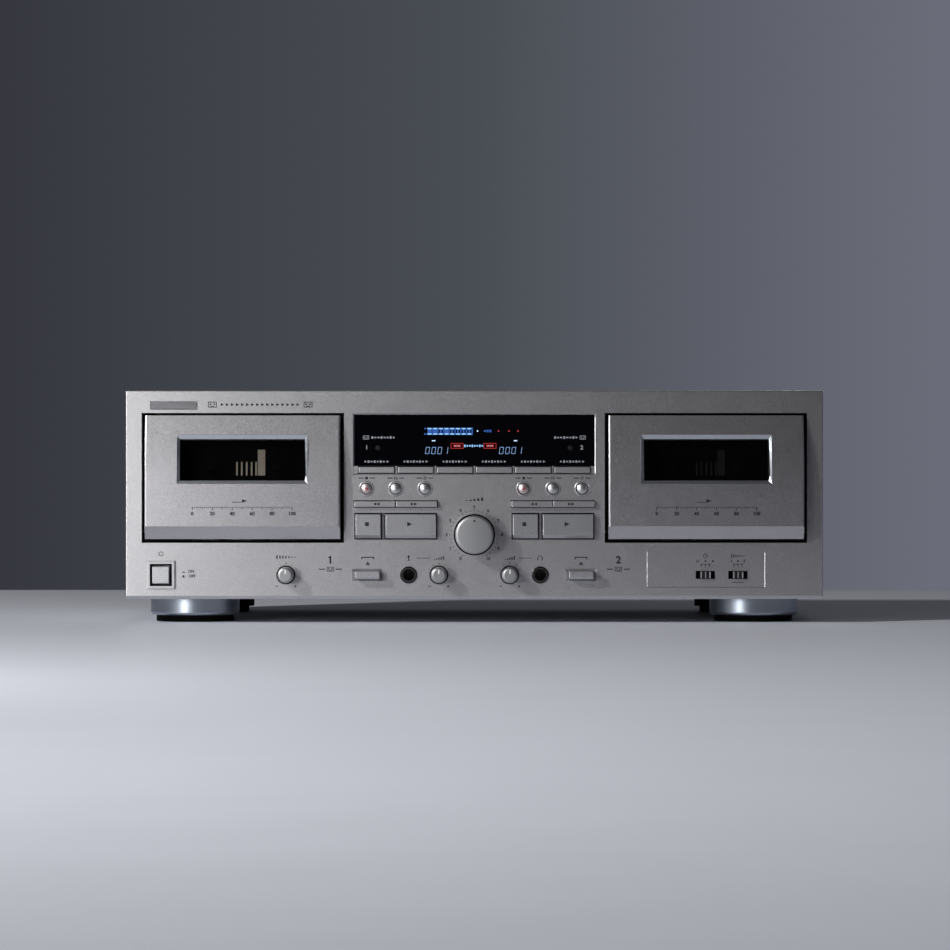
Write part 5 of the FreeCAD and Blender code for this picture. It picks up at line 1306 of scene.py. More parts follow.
@dataclass
class FrontPrint:
    """The signs printed on the panel, all pictograms, numbers or ON and OFF."""

    title_z: float = 136.2
    title_ends: Span = (-163.4, -103.7)
    title_start: float = -157.2
    title_pitch: float = 3.15
    title_arrows: int = 16
    dial_ticks: int = 31
    dial_step: int = 10
    dial_reach: int = 150
    number_radius: float = 17.3
    tick_radius: float = 15.0
    power_words: tuple[tuple[str, float, float], ...] = (("ON", -176.6, 32.2),
                                                         ("OFF", -176.0, 29.2))
    power_keys: tuple[Span, ...] = ((28.5, 1.1), (31.5, 0.4))
    power_key_x: float = -181.4
    knob_tick_radius: float = 7.3
    knob_end: float = 5.8
    knob_end_z: float = 23.0
    knob_sign_z: float = 40.6
    plaque_depth: float = 0.4
    plaque_sign_z: float = 41.8
    plaque_state_z: float = 38.6
    cluster_label_z: float = 90.4
    deck_sign_x: float = 89.8
    deck_tape_z: float = 33.6

    def build(self) -> None:
        """Prints all the dark signs as one piece."""
        sheet = Pictograms("front_print", 0.0)
        self.title(sheet)
        self.dial(sheet)
        self.power(sheet)
        self.small_knobs(sheet)
        self.sockets(sheet)
        self.switches(sheet)
        for deck in DECKS:
            self.button_signs(sheet, deck)
            self.deck_signs(sheet, deck)
        settle(sheet.press(), INK, "case", "panel_metal")

    def title(self, sheet: Pictograms) -> None:
        """Prints two cassettes joined by a run of arrows.

        Args:
            sheet: The sheet that takes the marks.
        """
        for x in self.title_ends:
            sheet.cassette(x, self.title_z, 3.5)
        for index in range(self.title_arrows):
            sheet.wedge(self.title_start + index * self.title_pitch, self.title_z, 2.0, 1.9, 90)

    def dial(self, sheet: Pictograms) -> None:
        """Prints the ticks round the large knob, with a number at every third.

        Args:
            sheet: The sheet that takes the marks.
        """
        for index in range(self.dial_ticks):
            degrees = index * self.dial_step - self.dial_reach
            across, up = math.sin(math.radians(degrees)), math.cos(math.radians(degrees))
            numbered = index % 3 == 0
            radius = self.tick_radius + (0.15 if numbered else 0.0)
            sheet.bar(radius * across, DIAL_Z + radius * up, 0.34, 1.2 if numbered else 0.8,
                      degrees)
            if numbered:
                sheet.text(str(index // 3), self.number_radius * across,
                           DIAL_Z + self.number_radius * up, 1.9)
        sheet.level(0.0, 77.2, 12.0, 2.2)

    def power(self, sheet: Pictograms) -> None:
        """Prints the signs by the power key.

        Args:
            sheet: The sheet that takes the marks.
        """
        sheet.power(POWER_X, 43.2, 3.4)
        for word, x, z in self.power_words:
            sheet.text(word, x, z, 1.7)
        for low, high in self.power_keys:
            sheet.bar(self.power_key_x, low + 0.1, 2.4, 0.3)
            sheet.bar(self.power_key_x, low + 0.2 + high / 2, 1.2, high)

    def small_knobs(self, sheet: Pictograms) -> None:
        """Prints the ticks and the minus and plus signs of the three small knobs.

        Args:
            sheet: The sheet that takes the marks.
        """
        for x in SMALL_KNOBS.values():
            sheet.bar(x, 37.2, 0.4, 1.2)
            for angle in (-60, -30, 30, 60):
                turn = math.radians(angle)
                sheet.bar(x + self.knob_tick_radius * math.sin(turn),
                          CONTROL_Z + self.knob_tick_radius * math.cos(turn), 0.3, 0.8, angle)
            sheet.bar(x - self.knob_end, self.knob_end_z, 1.7, 0.45)
            sheet.bar(x + self.knob_end, self.knob_end_z, 1.7, 0.45)
            sheet.bar(x + self.knob_end, self.knob_end_z, 0.45, 1.7)
        sheet.wave(PITCH_X, 41.1, 13.0, 2.4)

    def sockets(self, sheet: Pictograms) -> None:
        """Prints the sign of each socket, joined to that of its level knob.

        Args:
            sheet: The sheet that takes the marks.
        """
        for side, sign in ((-1, sheet.microphone), (1, sheet.headphones)):
            sign(side * JACK_X, self.knob_sign_z, 3.3)
            sheet.bar(side * 31.8, 40.5, 8.6, 0.32)
            sheet.level(side * LEVEL_X, self.knob_sign_z, 7.0, 2.3)

    def switches(self, sheet: Pictograms) -> None:
        """Prints the signs on the sunken plaque.

        Args:
            sheet: The sheet that takes the marks.
        """
        sheet.depth = self.plaque_depth
        sheet.clock(TIMER_X, self.plaque_sign_z, 2.9)
        sheet.wave(NOISE_REDUCTION_X, self.plaque_sign_z, 9.0, 2.3)
        for x in (TIMER_X, NOISE_REDUCTION_X):
            sheet.bar(x, 36.7, 6.6, 0.34)
            for offset in (-2.6, 0.0, 2.6):
                sheet.bar(x + offset, 35.7, 0.38, 2.0)
            sheet.dot(x, self.plaque_state_z, 0.6, 12)
        sheet.loop(139.2, self.plaque_state_z, 0.85, 0.34, 14)
        sheet.wedge(149.0, self.plaque_state_z, 1.6, 1.5, 90)
        sheet.text("1", 160.4, self.plaque_state_z, 1.6)
        sheet.text("2", 168.3, self.plaque_state_z, 1.6)
        sheet.bar(NOISE_REDUCTION_X, 25.3, 7.0, 0.34)
        sheet.depth = 0.0

    def button_signs(self, sheet: Pictograms, deck: DeckPlace) -> None:
        """Prints the signs over one deck's three round buttons.

        Args:
            sheet: The sheet that takes the marks.
            deck: The deck.
        """
        z = self.cluster_label_z
        left, middle, right = (deck.cluster_x + offset for offset in BUTTON_OFFSETS)
        sheet.dot(left, z, 0.95)
        for offset in (-0.65, 0.65):
            sheet.bar(middle + offset, z, 0.6, 1.8)
        sheet.loop(right, z, 0.95, 0.4)
        for x in (left, middle, right):
            for side in (-1, 1):
                sheet.bar(x + side * 3.6, z, 3.2, 0.6)

    def deck_signs(self, sheet: Pictograms, deck: DeckPlace) -> None:
        """Prints one deck's number, its cassette and its eject sign.

        Args:
            sheet: The sheet that takes the marks.
            deck: The deck.
        """
        x = deck.side * self.deck_sign_x
        sheet.text(str(deck.number), x, 39.2, 4.4)
        if deck.number == 1:
            sheet.bar(x - 0.75, 40.9, 1.3, 0.6)
        sheet.cassette(x, self.deck_tape_z, 2.8)
        for side in (-1, 1):
            sheet.bar(x + side * 5.3, self.deck_tape_z, 3.8, 0.6)
            sheet.bar(deck.eject_x + side * 3.7, 40.4, 0.6, 1.4)
        sheet.wedge(deck.eject_x, 37.5, 2.6, 1.4)
        sheet.bar(deck.eject_x, 36.3, 2.6, 0.5)
        sheet.bar(deck.eject_x, 41.0, 8.0, 0.6)


@dataclass
class DisplayFace:
    """What is lit and printed on the dark pane."""

    depth: float = 0.8
    meter_left: float = -30.6
    meter_cells: int = 8
    first_cell: float = 2.6
    cell_pitch: float = 3.55
    full_cells: tuple[int, ...] = (0, 1, 3)
    row_heights: Span = (121.25, 117.9)
    middle_z: float = 119.75
    peaks: tuple[float, ...] = (15.1, 21.6, 27.2)
    boxes: Span = (-10.75, 9.75)
    box_z: float = 110.5
    counters: Span = (-29.2, 16.9)
    counter_z: float = 107.6
    counter_pitch: float = 3.8
    figure: str = "0001"
    digit_width: float = 2.5
    digit_height: float = 4.3
    digit_line: float = 0.28
    digit_lean: int = 8
    deck_label_z: float = 115.7
    key_label_z: float = 100.7

    def build(self) -> None:
        """Builds the lamps of each colour, the counters and the printed labels."""
        self.white_lamps()
        self.pale_lamps()
        self.counter_lamps()
        self.blue_lamps()
        self.red_lamps()
        self.labels()

    def cells(self) -> list[float]:
        """Gives the places of the level meter's cells, from left to right."""
        return [self.meter_left + self.first_cell + index * self.cell_pitch
                for index in range(self.meter_cells)]

    def digit(self, sheet: Pictograms, lit: str, x: float, z: float) -> None:
        """Lights one seven-segment figure.

        Args:
            sheet: The sheet that takes the segments.
            lit: The letters of its lit segments.
            x: Its middle from left to right.
            z: Its middle's height.
        """
        width, height, line = self.digit_width, self.digit_height, self.digit_line
        lean = math.tan(math.radians(self.digit_lean))
        for name, half in (("a", 1), ("g", 0), ("d", -1)):
            if name in lit:
                rise = half * (height - line) / 2
                sheet.bar(x + lean * rise, z + rise, width - 2.4 * line, line)
        for name, side, half in (("f", -1, 1), ("b", 1, 1), ("e", -1, -1), ("c", 1, -1)):
            if name in lit:
                rise = half * height / 4
                sheet.bar(x + side * (width - line) / 2 + lean * rise, z + rise, line,
                          height / 2 - line * 0.7, self.digit_lean)

    def white_lamps(self) -> None:
        """Builds the white dot and dashes."""
        sheet = Pictograms("display_lamps_white", self.depth)
        sheet.dot(2.0, self.middle_z, 0.45)
        for x in (-25.4, 25.7):
            sheet.bar(x, 113.7, 2.2, 0.6)
        for x in self.boxes:
            sheet.bar(x, self.box_z, 3.6, 0.3)
        settle(sheet.press(), LAMP_WHITE, "case", "display_pane")

    def pale_lamps(self) -> None:
        """Builds the bars of the level meters and the sign between the boxes."""
        sheet = Pictograms("display_lamps_pale", self.depth)
        for z in self.row_heights:
            for x in self.cells():
                sheet.bar(x, z, 2.5, 0.8)
        sheet.strokes(-5.9, self.box_z, 8, 1.55, 0.9, (1.5, 1.0, 1.0))
        settle(sheet.press(), LAMP_PALE, "case", "display_pane")

    def counter_lamps(self) -> None:
        """Builds the two tape counters."""
        sheet = Pictograms("display_counters", self.depth)
        segments = {"0": "abcdef", "1": "bc"}
        for start in self.counters:
            for index, figure in enumerate(self.figure):
                self.digit(sheet, segments[figure], start + index * self.counter_pitch,
                           self.counter_z)
        settle(sheet.press(), LAMP_FIGURE, "case", "display_pane")

    def blue_lamps(self) -> None:
        """Builds the blue cells between the meter's rows, and the blue sign beside them."""
        sheet = Pictograms("display_lamps_blue", self.depth)
        top, bottom = self.row_heights
        middle, tall = (top + bottom) / 2, top - bottom - 0.9
        for index, x in enumerate(self.cells()):
            sheet.bar(x, middle, 2.4 if index in self.full_cells else 1.0, tall)
            for z in (top, bottom):
                sheet.bar(x + self.cell_pitch / 2, z, 0.8, 1.1)
            sheet.bar(x + self.cell_pitch / 2, middle, 0.8, tall)
        for z in (117.9, 121.3):
            sheet.bar(self.meter_left, z, 1.3, 0.8)
        sheet.strokes(6.6, self.middle_z, 3, 1.7, 1.2, (1.1, 1.5, 1.5))
        settle(sheet.press(), LAMP_BLUE, "case", "display_pane")

    def red_lamps(self) -> None:
        """Builds the red peak dots and the two red boxes."""
        sheet = Pictograms("display_lamps_red", self.depth)
        for x in self.peaks:
            sheet.dot(x, self.middle_z, 0.5)
        for x in self.boxes:
            sheet.box(x, self.box_z, 7.9, 3.4, 0.3)
            sheet.strokes(x - 1.7, self.box_z, 3, 1.7, 1.1, (1.5,))
        settle(sheet.press(), LAMP_RED, "case", "display_pane")

    def labels(self) -> None:
        """Prints the deck signs beside the meters and the signs over the row keys."""
        sheet = Pictograms("display_print", self.depth)
        for side, number in ((-1, "1"), (1, "2")):
            sheet.text(number, side * 67.1, 109.4, 2.6)
            sheet.cassette(side * 67.6, self.deck_label_z, 2.4)
            sheet.strokes(side * 57.0 - 6.6, self.deck_label_z, 8, 1.9, 1.2, (1.5, 0.9, 0.9))
        for index in range(ROW_KEYS):
            x = row_x(index)
            sheet.dot(x - 7.0, self.key_label_z, 0.6, 12)
            sheet.strokes(x - 5.0, self.key_label_z, 6, 1.9, 1.2, (1.4, 0.9))
            sheet.wedge(x + 7.0, self.key_label_z, 1.5, 1.5, 90)
        settle(sheet.press(), PALE_PRINT, "case", "display_pane")


@dataclass
class CassetteDoor:
    """The print, satin window frame, dark liner and hinge sleeves of the doors, and the black
    strip under them; sleeves and strip paint the shade in the gap.

    The frame's rim, its opening and the pane are given as width, lower edge and upper edge.
    """

    x: float = DECKS[0].deck_x
    body: str = "door_1"
    face_depth: float = -7.45
    crown_start: float = 82.0
    crown_radius: float = 208.85
    rim: tuple[float, float, float] = (81.38, 86.87, 117.42)
    rim_sink: float = -0.02
    opening: tuple[float, float, float] = (77.7, 88.7, 114.5)
    pane: tuple[float, float, float] = (77.6, 89.0, 114.0)
    pane_depth: float = 1.98
    bevel_depth: float = 1.0
    bevel_wall: float = 0.3
    liner_sink: float = 0.05
    liner_wall: float = 0.04
    bow: float = 1.3
    cuts: int = 5
    scale_start: float = -31.0
    scale_z: float = 72.6
    scale_ticks: int = 51
    scale_pitch: float = 1.24
    scale_number_z: float = 68.2
    hinge_side: float = 60.9
    hinge_depth: float = 2.5
    hinge_z: float = 57.0
    sleeve_radii: Span = (1.5, 1.02)
    sleeve_length: float = 1.9
    seal_z: float = 50.9
    seal_width: float = 125.8
    seal_height: float = 1.7
    seal_depths: Span = (3.1, 5.0)
    seal_bevel: Span = (0.2, 0.1)

    def build(self) -> None:
        """Builds all pieces of door 1, each with its copy for door 2."""
        self.printing()
        self.window_frame()
        self.window_liner()
        self.hinge_sleeves()
        self.foot_seal()

    def printing(self) -> None:
        """Prints the arrow and the tape scale under the window."""
        sheet = Pictograms("door_print_1", self.face_depth)
        sheet.bar(self.x - 3.0, 75.4, 6.6, 0.36)
        sheet.wedge(self.x + 1.6, 76.2, 2.2, 3.4, 90)
        start = self.x + self.scale_start
        for index in range(self.scale_ticks):
            tall = 2.2 if index % 10 == 0 else 1.5 if index % 5 == 0 else 0.9
            x = start + index * self.scale_pitch
            sheet.bar(x, self.scale_z - tall / 2, 0.42, tall)
            if index % 10 == 0:
                sheet.text(str(index * 2), x, self.scale_number_z, 2.2)
        settle(sheet.press(), INK, self.body, "door_metal", DOOR_COPY)

    def crown_depth(self, z: float) -> float:
        """Gives the depth of the door's face at a height."""
        rise = max(0.0, z - self.crown_start)
        return self.face_depth + self.crown_radius - math.sqrt(self.crown_radius ** 2 - rise ** 2)

    def lean(self, bench: Bench, width: float, low: float, high: float, sink: float) -> None:
        """Adds a plate across the window that leans back as the crowned face does.

        Args:
            bench: The bench that takes it.
            width: Its width.
            low: The height of its lower edge.
            high: The height of its upper edge.
            sink: How far behind the face it lies.
        """
        near, far = self.crown_depth(low), self.crown_depth(high)
        middle = at(self.x, (near + far) / 2 + sink, (low + high) / 2)
        length = math.hypot(high - low, far - near)
        bench.plate(middle, width, length)
        bpy.ops.transform.rotate(value=math.atan2(far - near, high - low), orient_axis="X",
                                 center_override=middle)

    def curve(self, bench: Bench, edge: float) -> None:
        """Cuts the sides at a few heights, and draws their front edges out to the crowned face.

        Args:
            bench: The bench that holds them.
            edge: The half width of the opening, whose right edge is bowed outwards.
        """
        _, low, high = self.rim
        panel = at(0.0, 0.0, 0.0).y
        for index in range(1, self.cuts + 1):
            share = index / (self.cuts + 1)
            height = low + (high - low) * share
            chord = self.crown_depth(low) * (1 - share) + self.crown_depth(high) * share
            place = at(self.x + edge, 0.0, height)
            bpy.ops.mesh.select_all(action="SELECT")
            bpy.ops.mesh.bisect(plane_co=place, plane_no=(0.0, 0.0, 1.0))
            bench.points(lambda point: abs(point.z - place.z) < 1e-6 and point.y < panel)
            bpy.ops.transform.translate(value=(0.0, (self.crown_depth(height) - chord) * MM, 0.0))
            bench.points(lambda point: (point.xz - place.xz).length < 1e-5 and point.y < panel)
            bpy.ops.transform.translate(value=(self.bow * 4 * share * (1 - share) * MM, 0.0, 0.0))
        bpy.ops.mesh.select_mode(type="FACE")

    def window_frame(self) -> None:
        """Builds the satin bevel round the window."""
        bench = Bench("window_trim_1")
        width, low, high = self.rim
        inner_width, inner_low, inner_high = self.opening
        self.lean(bench, width, low, high, self.rim_sink)
        bpy.ops.mesh.inset(thickness=MM)
        centre = at(self.x, (self.crown_depth(low) + self.crown_depth(high)) / 2,
                    (low + high) / 2)
        bench.scale(centre, inner_width / (width - 2.0), 1.0,
                    (inner_high - inner_low) / (high - low - 2.0))
        bpy.ops.transform.translate(value=(0.0, self.bevel_depth * MM,
                                           (inner_low + inner_high - low - high) / 2 * MM))
        bpy.ops.mesh.delete(type="FACE")
        self.curve(bench, inner_width / 2)
        bpy.ops.mesh.select_all(action="SELECT")
        bench.pull(depth=self.bevel_wall)
        settle(bench.close(), TRIM_SILVER, self.body, "door_metal", DOOR_COPY)

    def window_liner(self) -> None:
        """Builds the dark walls from the bevel back to the pane."""
        bench = Bench("window_liner_1")
        inner_width, inner_low, inner_high = self.opening
        width, low, high = self.pane
        self.lean(bench, inner_width, inner_low, inner_high, self.bevel_depth + self.liner_sink)
        bench.pull(depth=5.0)
        bench.scale(at(self.x, self.pane_depth, (low + high) / 2), width / inner_width, 0.0, 1.0)
        bpy.ops.mesh.delete(type="FACE")
        bench.choose(lambda centre, normal: abs(normal.y) > 0.9)
        bpy.ops.mesh.delete(type="FACE")
        self.curve(bench, inner_width / 2)
        bench.thicken(self.liner_wall)
        settle(bench.piece, BLACK_PLASTIC, self.body, "black_plastic", DOOR_COPY)

    def hinge_sleeves(self) -> None:
        """Builds the black sleeve on each of the two hinge pins, a bushing that also paints the
        shade in the gap under the door.
        """
        bench = Bench("hinge_sleeves_1")
        for side in (-1, 1):
            start = at(self.x + side * self.hinge_side, self.hinge_depth, self.hinge_z)
            bench.ring(start, *self.sleeve_radii, 20, Facing.LEFT)
            bench.pull(x=side * self.sleeve_length)
        settle(bench.close(40.0), PAINTED_SHADE_BLACK, self.body, "black_plastic", DOOR_COPY)

    def foot_seal(self) -> None:
        """Builds the black strip that paints the shade under the door, clear of the door's swing.
        """
        bench = Bench("door_foot_seal_1")
        front, back = self.seal_depths
        bench.plate(at(self.x, back, self.seal_z), self.seal_width, self.seal_height)
        bench.pull(depth=front - back)
        bench.slope(*self.seal_bevel)
        settle(bench.close(), PAINTED_SHADE_BLACK, "case", "black_plastic", DOOR_COPY)


@dataclass
class LampGuide:
    """The caps on the transports' ribbed lamp guides, whose glow paints light on deck 1 and shade
    on deck 2.
    """

    x: float = DECKS[0].deck_x
    rib_places: tuple[float, ...] = (-4.7, -1.7, 1.4, 4.5, 7.3)
    rib_width: float = 0.8
    rib_height: float = 8.4
    block_x: float = 10.7
    block_width: float = 4.4
    block_height: float = 16.0
    bottom: float = 92.1
    front: float = 18.4
    length: float = 1.2
    cap: float = 0.08
    bevel: Span = (0.15, 0.12)

    def build(self) -> None:
        """Builds a rounded cap over the front of each rib and of the block."""
        bench = Bench("lamp_guide_1")
        shapes = [(x, self.rib_width, self.rib_height) for x in self.rib_places]
        shapes.append((self.block_x, self.block_width, self.block_height))
        for offset, width, height in shapes:
            place = at(self.x + offset, self.front + self.length, self.bottom + height / 2)
            bench.plate(place, width + 2 * self.cap, height + 2 * self.cap)
            bench.pull(depth=-self.length - self.cap)
            bench.slope(*self.bevel)
        # The glow paints light on these caps, and shade on deck 2's copy.
        settle(bench.close(), GUIDE_PAINTED_LIGHT, "case", "black_plastic", GUIDE_COPY)


@dataclass
class KeySigns:
    """The dark signs on the transport keys, and the red eye of the record buttons."""

    x: float = DECKS[0].cluster_x
    shuttle_reach: float = 3.0
    shuttle_places: tuple[tuple[str, float, int], ...] = (("rewind", -12.0, 270),
                                                          ("forward", 11.4, 90))
    play_z: float = 61.7
    play_reach: float = 3.6
    stop_x: float = -17.9
    play_x: float = 8.7
    eye_radius: float = 0.9
    eye_depth: float = -2.0
    eye_body: float = 0.22
    eye_bevel: Span = (0.35, 0.07)

    def build(self) -> None:
        """Prints each sign on its own key of deck 1, with its copy for deck 2."""
        for key, place, turn in self.shuttle_places:
            sheet = Pictograms(f"{key}_sign_1", -self.shuttle_reach)
            sheet.double_wedge(self.x + place, SHUTTLE_Z, 4.1, 2.0, turn)
            self.settle_sign(sheet, key)
        stop = Pictograms("stop_sign_1", -self.play_reach)
        stop.bar(self.x + self.stop_x, self.play_z, 2.4, 2.4)
        self.settle_sign(stop, "stop")
        play = Pictograms("play_sign_1", -self.play_reach)
        play.wedge(self.x + self.play_x, self.play_z, 3.0, 3.0, 90)
        self.settle_sign(play, "play")
        self.record_eye()

    def settle_sign(self, sheet: Pictograms, key: str) -> None:
        """Gives a sign its body and hangs it on its key."""
        settle(sheet.press(), INK, f"{key}_button_1", "key_silver", CLUSTER_COPY)

    def record_eye(self) -> None:
        """Builds the small domed red eye on the record button."""
        bench = Bench("record_eye_1")
        bench.disc(at(self.x + BUTTON_OFFSETS[0], self.eye_depth, BUTTON_Z), self.eye_radius)
        bench.pull(depth=-self.eye_body)
        bench.slope(*self.eye_bevel)
        settle(bench.close(40.0), RED_PRINT, "record_button_1", "key_silver", CLUSTER_COPY)


@dataclass
class KnobMarks:
    """The small knobs' pointers and the dark rings that paint the shade at their feet, and the
    large knob's body and index.
    """

    small_reach: float = 11.5
    pointer_z: float = 32.2
    skirt_radii: Span = (5.15, 5.105)
    skirt_depths: Span = (-1.38, 0.7)
    large_back: float = 0.8
    large_radius: float = 11.85
    large_face: float = 10.4
    large_reach: float = 15.6
    large_dome: float = 0.3
    large_sides: int = 96
    edge_step: int = 15
    face_shares: tuple[float, ...] = (1.0, 0.9, 0.75, 0.55, 0.35, 0.15, 0.04)
    index_radius: float = 8.7

    def build(self) -> None:
        """Builds every piece on its own knob."""
        self.pointers()
        self.skirt_rings()
        self.level_knob()
        self.level_index()

    def pointers(self) -> None:
        """Prints the pitch knob's white pointer, and copies it to the other small knobs."""
        sheet = Pictograms("pitch_knob_pointer", -self.small_reach)
        sheet.bar(PITCH_X, self.pointer_z, 0.8, 2.6)
        settle(sheet.press(), WHITE_PRINT, "pitch_knob", "knob_metal", *KNOB_COPIES)

    def skirt_rings(self) -> None:
        """Builds the dark ring that paints the shade round the pitch knob's foot, and copies it
        likewise.
        """
        bench = Bench("pitch_knob_skirt_ring")
        bench.washer(PITCH_X, CONTROL_Z, *self.skirt_radii, *self.skirt_depths)
        settle(bench.close(40.0), BLACK_PLASTIC, "pitch_knob", "black_plastic", *KNOB_COPIES)

    def reach_at(self, radius: float) -> float:
        """Gives how far the large knob's gently domed face stands out at a radius."""
        return self.large_reach - self.large_dome * (radius / self.large_face) ** 2

    def level_knob(self) -> None:
        """Builds the large knob with its gently domed face and rounded edge."""
        radius, reach = self.large_radius, -self.large_back
        bench = Bench("rec_level_knob_body")
        bench.disc(at(0.0, self.large_back, DIAL_Z), radius, self.large_sides)
        edge, turn = self.reach_at(self.large_face), self.large_radius - self.large_face
        rings = [(self.large_face + turn * math.cos(math.radians(angle)),
                  edge - turn * (1 - math.sin(math.radians(angle))))
                 for angle in range(0, 90, self.edge_step)]
        rings += [(self.large_face * share, self.reach_at(self.large_face * share))
                  for share in self.face_shares]
        for next_radius, next_reach in rings:
            bench.pull(depth=reach - next_reach)
            factor = next_radius / radius
            bench.scale(at(0.0, 0.0, DIAL_Z), factor, 1.0, factor)
            radius, reach = next_radius, next_reach
        piece = bench.close(30.0)
        settle(piece, OWN_FINISHES["rec_level_knob"], "rec_level_knob", "knob_metal")
        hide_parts("rec_level_knob")

    def level_index(self) -> None:
        """Prints the dark dot near the rim of the large knob's face."""
        sheet = Pictograms("rec_level_knob_index", -self.reach_at(self.index_radius) + 0.02)
        sheet.dot(0.0, DIAL_Z + self.index_radius, 0.68, 20)
        settle(sheet.press(0.1), INK, "rec_level_knob", "knob_metal")


@dataclass
class SlideSwitches:
    """The ribs on the two sliders, lighter grey as a painted highlight, and the dark shield behind
    each slot, which paints the shade inside it.
    """

    reach: float = 1.8
    rib_height: float = 4.0
    ribs: tuple[Span, ...] = ((-2.75, 0.75), (0.0, 0.5), (2.75, 0.75))
    shield_width: float = 17.2
    shield_height: float = 6.4
    shield_body: float = 0.3
    shield_bevel: Span = (0.3, -0.05)
    timer_depth: float = 5.15
    noise_reduction_depth: float = 5.55

    def build(self) -> None:
        """Builds the timer slider's pieces, and copies them to the other slider."""
        self.slider_ribs()
        self.shields()

    def copy(self, depth: float = 0.0) -> Copy:
        """Gives the other slider's place, and how much further back the piece stands there."""
        return Copy("timer", "noise_reduction", (NOISE_REDUCTION_X - TIMER_X, depth, 0.0))

    def slider_ribs(self) -> None:
        """Builds the three ribs of each slider, lighter grey bars that paint the highlight on
        their tops.
        """
        sheet = Pictograms("timer_slider_ribs", -self.reach)
        for offset, width in self.ribs:
            sheet.bar(TIMER_X + offset, CONTROL_Z, width, self.rib_height)
        settle(sheet.press(), RIB_HIGHLIGHT_GREY, "timer_slider", "slider_plastic", self.copy())

    def shields(self) -> None:
        """Builds the black plate that paints the shade behind each slot, at the depth of its own
        slider.
        """
        bench = Bench("timer_slider_shield")
        bench.plate(at(TIMER_X, self.timer_depth + self.shield_body, CONTROL_Z),
                    self.shield_width, self.shield_height)
        bench.pull(depth=-self.shield_body)
        bench.slope(*self.shield_bevel)
        settle(bench.close(), PAINTED_SHADE_BLACK, "timer_slider", "black_plastic",
               self.copy(self.noise_reduction_depth - self.timer_depth))


@dataclass
class RearDress:
    """The bright sleeves, coloured insulators and plain signs of the back."""

    columns: tuple[float, ...] = (40.0, 75.0, 125.0, 160.0)
    inputs: tuple[float, ...] = (40.0, 125.0)
    rows: Span = (52.0, 72.0)
    rear_depth: float = 260.4
    barrel: float = 4.15
    sleeve_start: float = 1.4
    sleeve_length: float = 8.5
    collar_radius: float = 5.6
    collar_length: float = 1.3
    sign_z: float = 62.0
    sign_line: float = 0.35

    def build(self) -> None:
        """Builds sleeves, insulators and print."""
        self.sleeves()
        self.insulators()
        self.printing()

    def tubes(self, bench: Bench, row: float, start: float, radii: Span, length: float) -> None:
        """Adds a short tube round each socket of a row.

        Args:
            bench: The bench that takes them.
            row: The row's height.
            start: How far behind the rear panel they begin.
            radii: Their outer and inner radius.
            length: Their length.
        """
        for x in self.columns:
            bench.ring(at(x, self.rear_depth + start, row), *radii, 40, Facing.BACK)
            bench.pull(depth=length)

    def sleeves(self) -> None:
        """Builds the thin bright sleeve round each barrel."""
        bench = Bench("phono_sleeves")
        for row in self.rows:
            self.tubes(bench, row, self.sleeve_start, (self.barrel + 0.12, self.barrel + 0.005),
                       self.sleeve_length)
        settle(bench.close(40.0), NICKEL, "case", "socket_black")

    def insulators(self) -> None:
        """Builds the red collars at the feet of the lower row, and copies them in white."""
        bench = Bench("phono_collars_red")
        self.tubes(bench, self.rows[0], 0.02, (self.collar_radius, self.barrel + 0.14),
                   self.collar_length)
        white = Copy("red", "white", (0.0, 0.0, self.rows[1] - self.rows[0]), PHONO_WHITE)
        settle(bench.close(40.0), PHONO_RED, "case", "socket_black", white)

    def printing(self) -> None:
        """Prints deck numbers, arrows and a frame round each group on the back."""
        sheet = Pictograms("rear_print", self.rear_depth, Facing.BACK)
        for x in self.columns:
            sheet.box(x, self.sign_z, 20.0, 40.0, self.sign_line)
            inward = x in self.inputs
            sheet.wedge(x, 85.6, 3.4, 3.0, 180 if inward else 0)
            sheet.bar(x, 88.4 if inward else 82.9, 0.9, 2.4)
        for x, number in ((57.5, "1"), (142.5, "2")):
            sheet.text(number, x, 92.0, 5.0)
        sheet.box(-150.0, self.sign_z, 36.0, 28.0, self.sign_line)
        settle(sheet.press(), PALE_PRINT, "case", "rear_paint")


class Reach(Enum):
    """What a lamp lights."""

    ALL = "all"
    DECK = "deck"
    FLOOR = "floor"


@dataclass
class Lamp:
    """One soft light of the studio."""

    name: str
    place: Point
    aim: Point
    size: Span
    watts: float
    reach: Reach = Reach.ALL

    def build(self) -> None:
        """Hangs the light and turns it to its aim."""
        light = bpy.data.lights.new(self.name, "AREA")
        light.shape = "RECTANGLE"
        light.size, light.size_y = self.size
        light.energy = self.watts
        holder = bpy.data.objects.new(self.name, light)
        holder.location = self.place
        way = Vector(self.aim) - Vector(self.place)
        holder.rotation_euler = way.to_track_quat("-Z", "Y").to_euler()
        holder.visible_camera = False
        if self.reach is not Reach.ALL:
            listed = bpy.data.collections.new(f"{self.name}_{self.reach.value}")
            listed.objects.link(bpy.data.objects["floor"])
            if self.reach is Reach.DECK:
                listed.collection_objects[0].light_linking.link_state = "EXCLUDE"
            holder.light_linking.receiver_collection = listed
        bpy.context.collection.objects.link(holder)


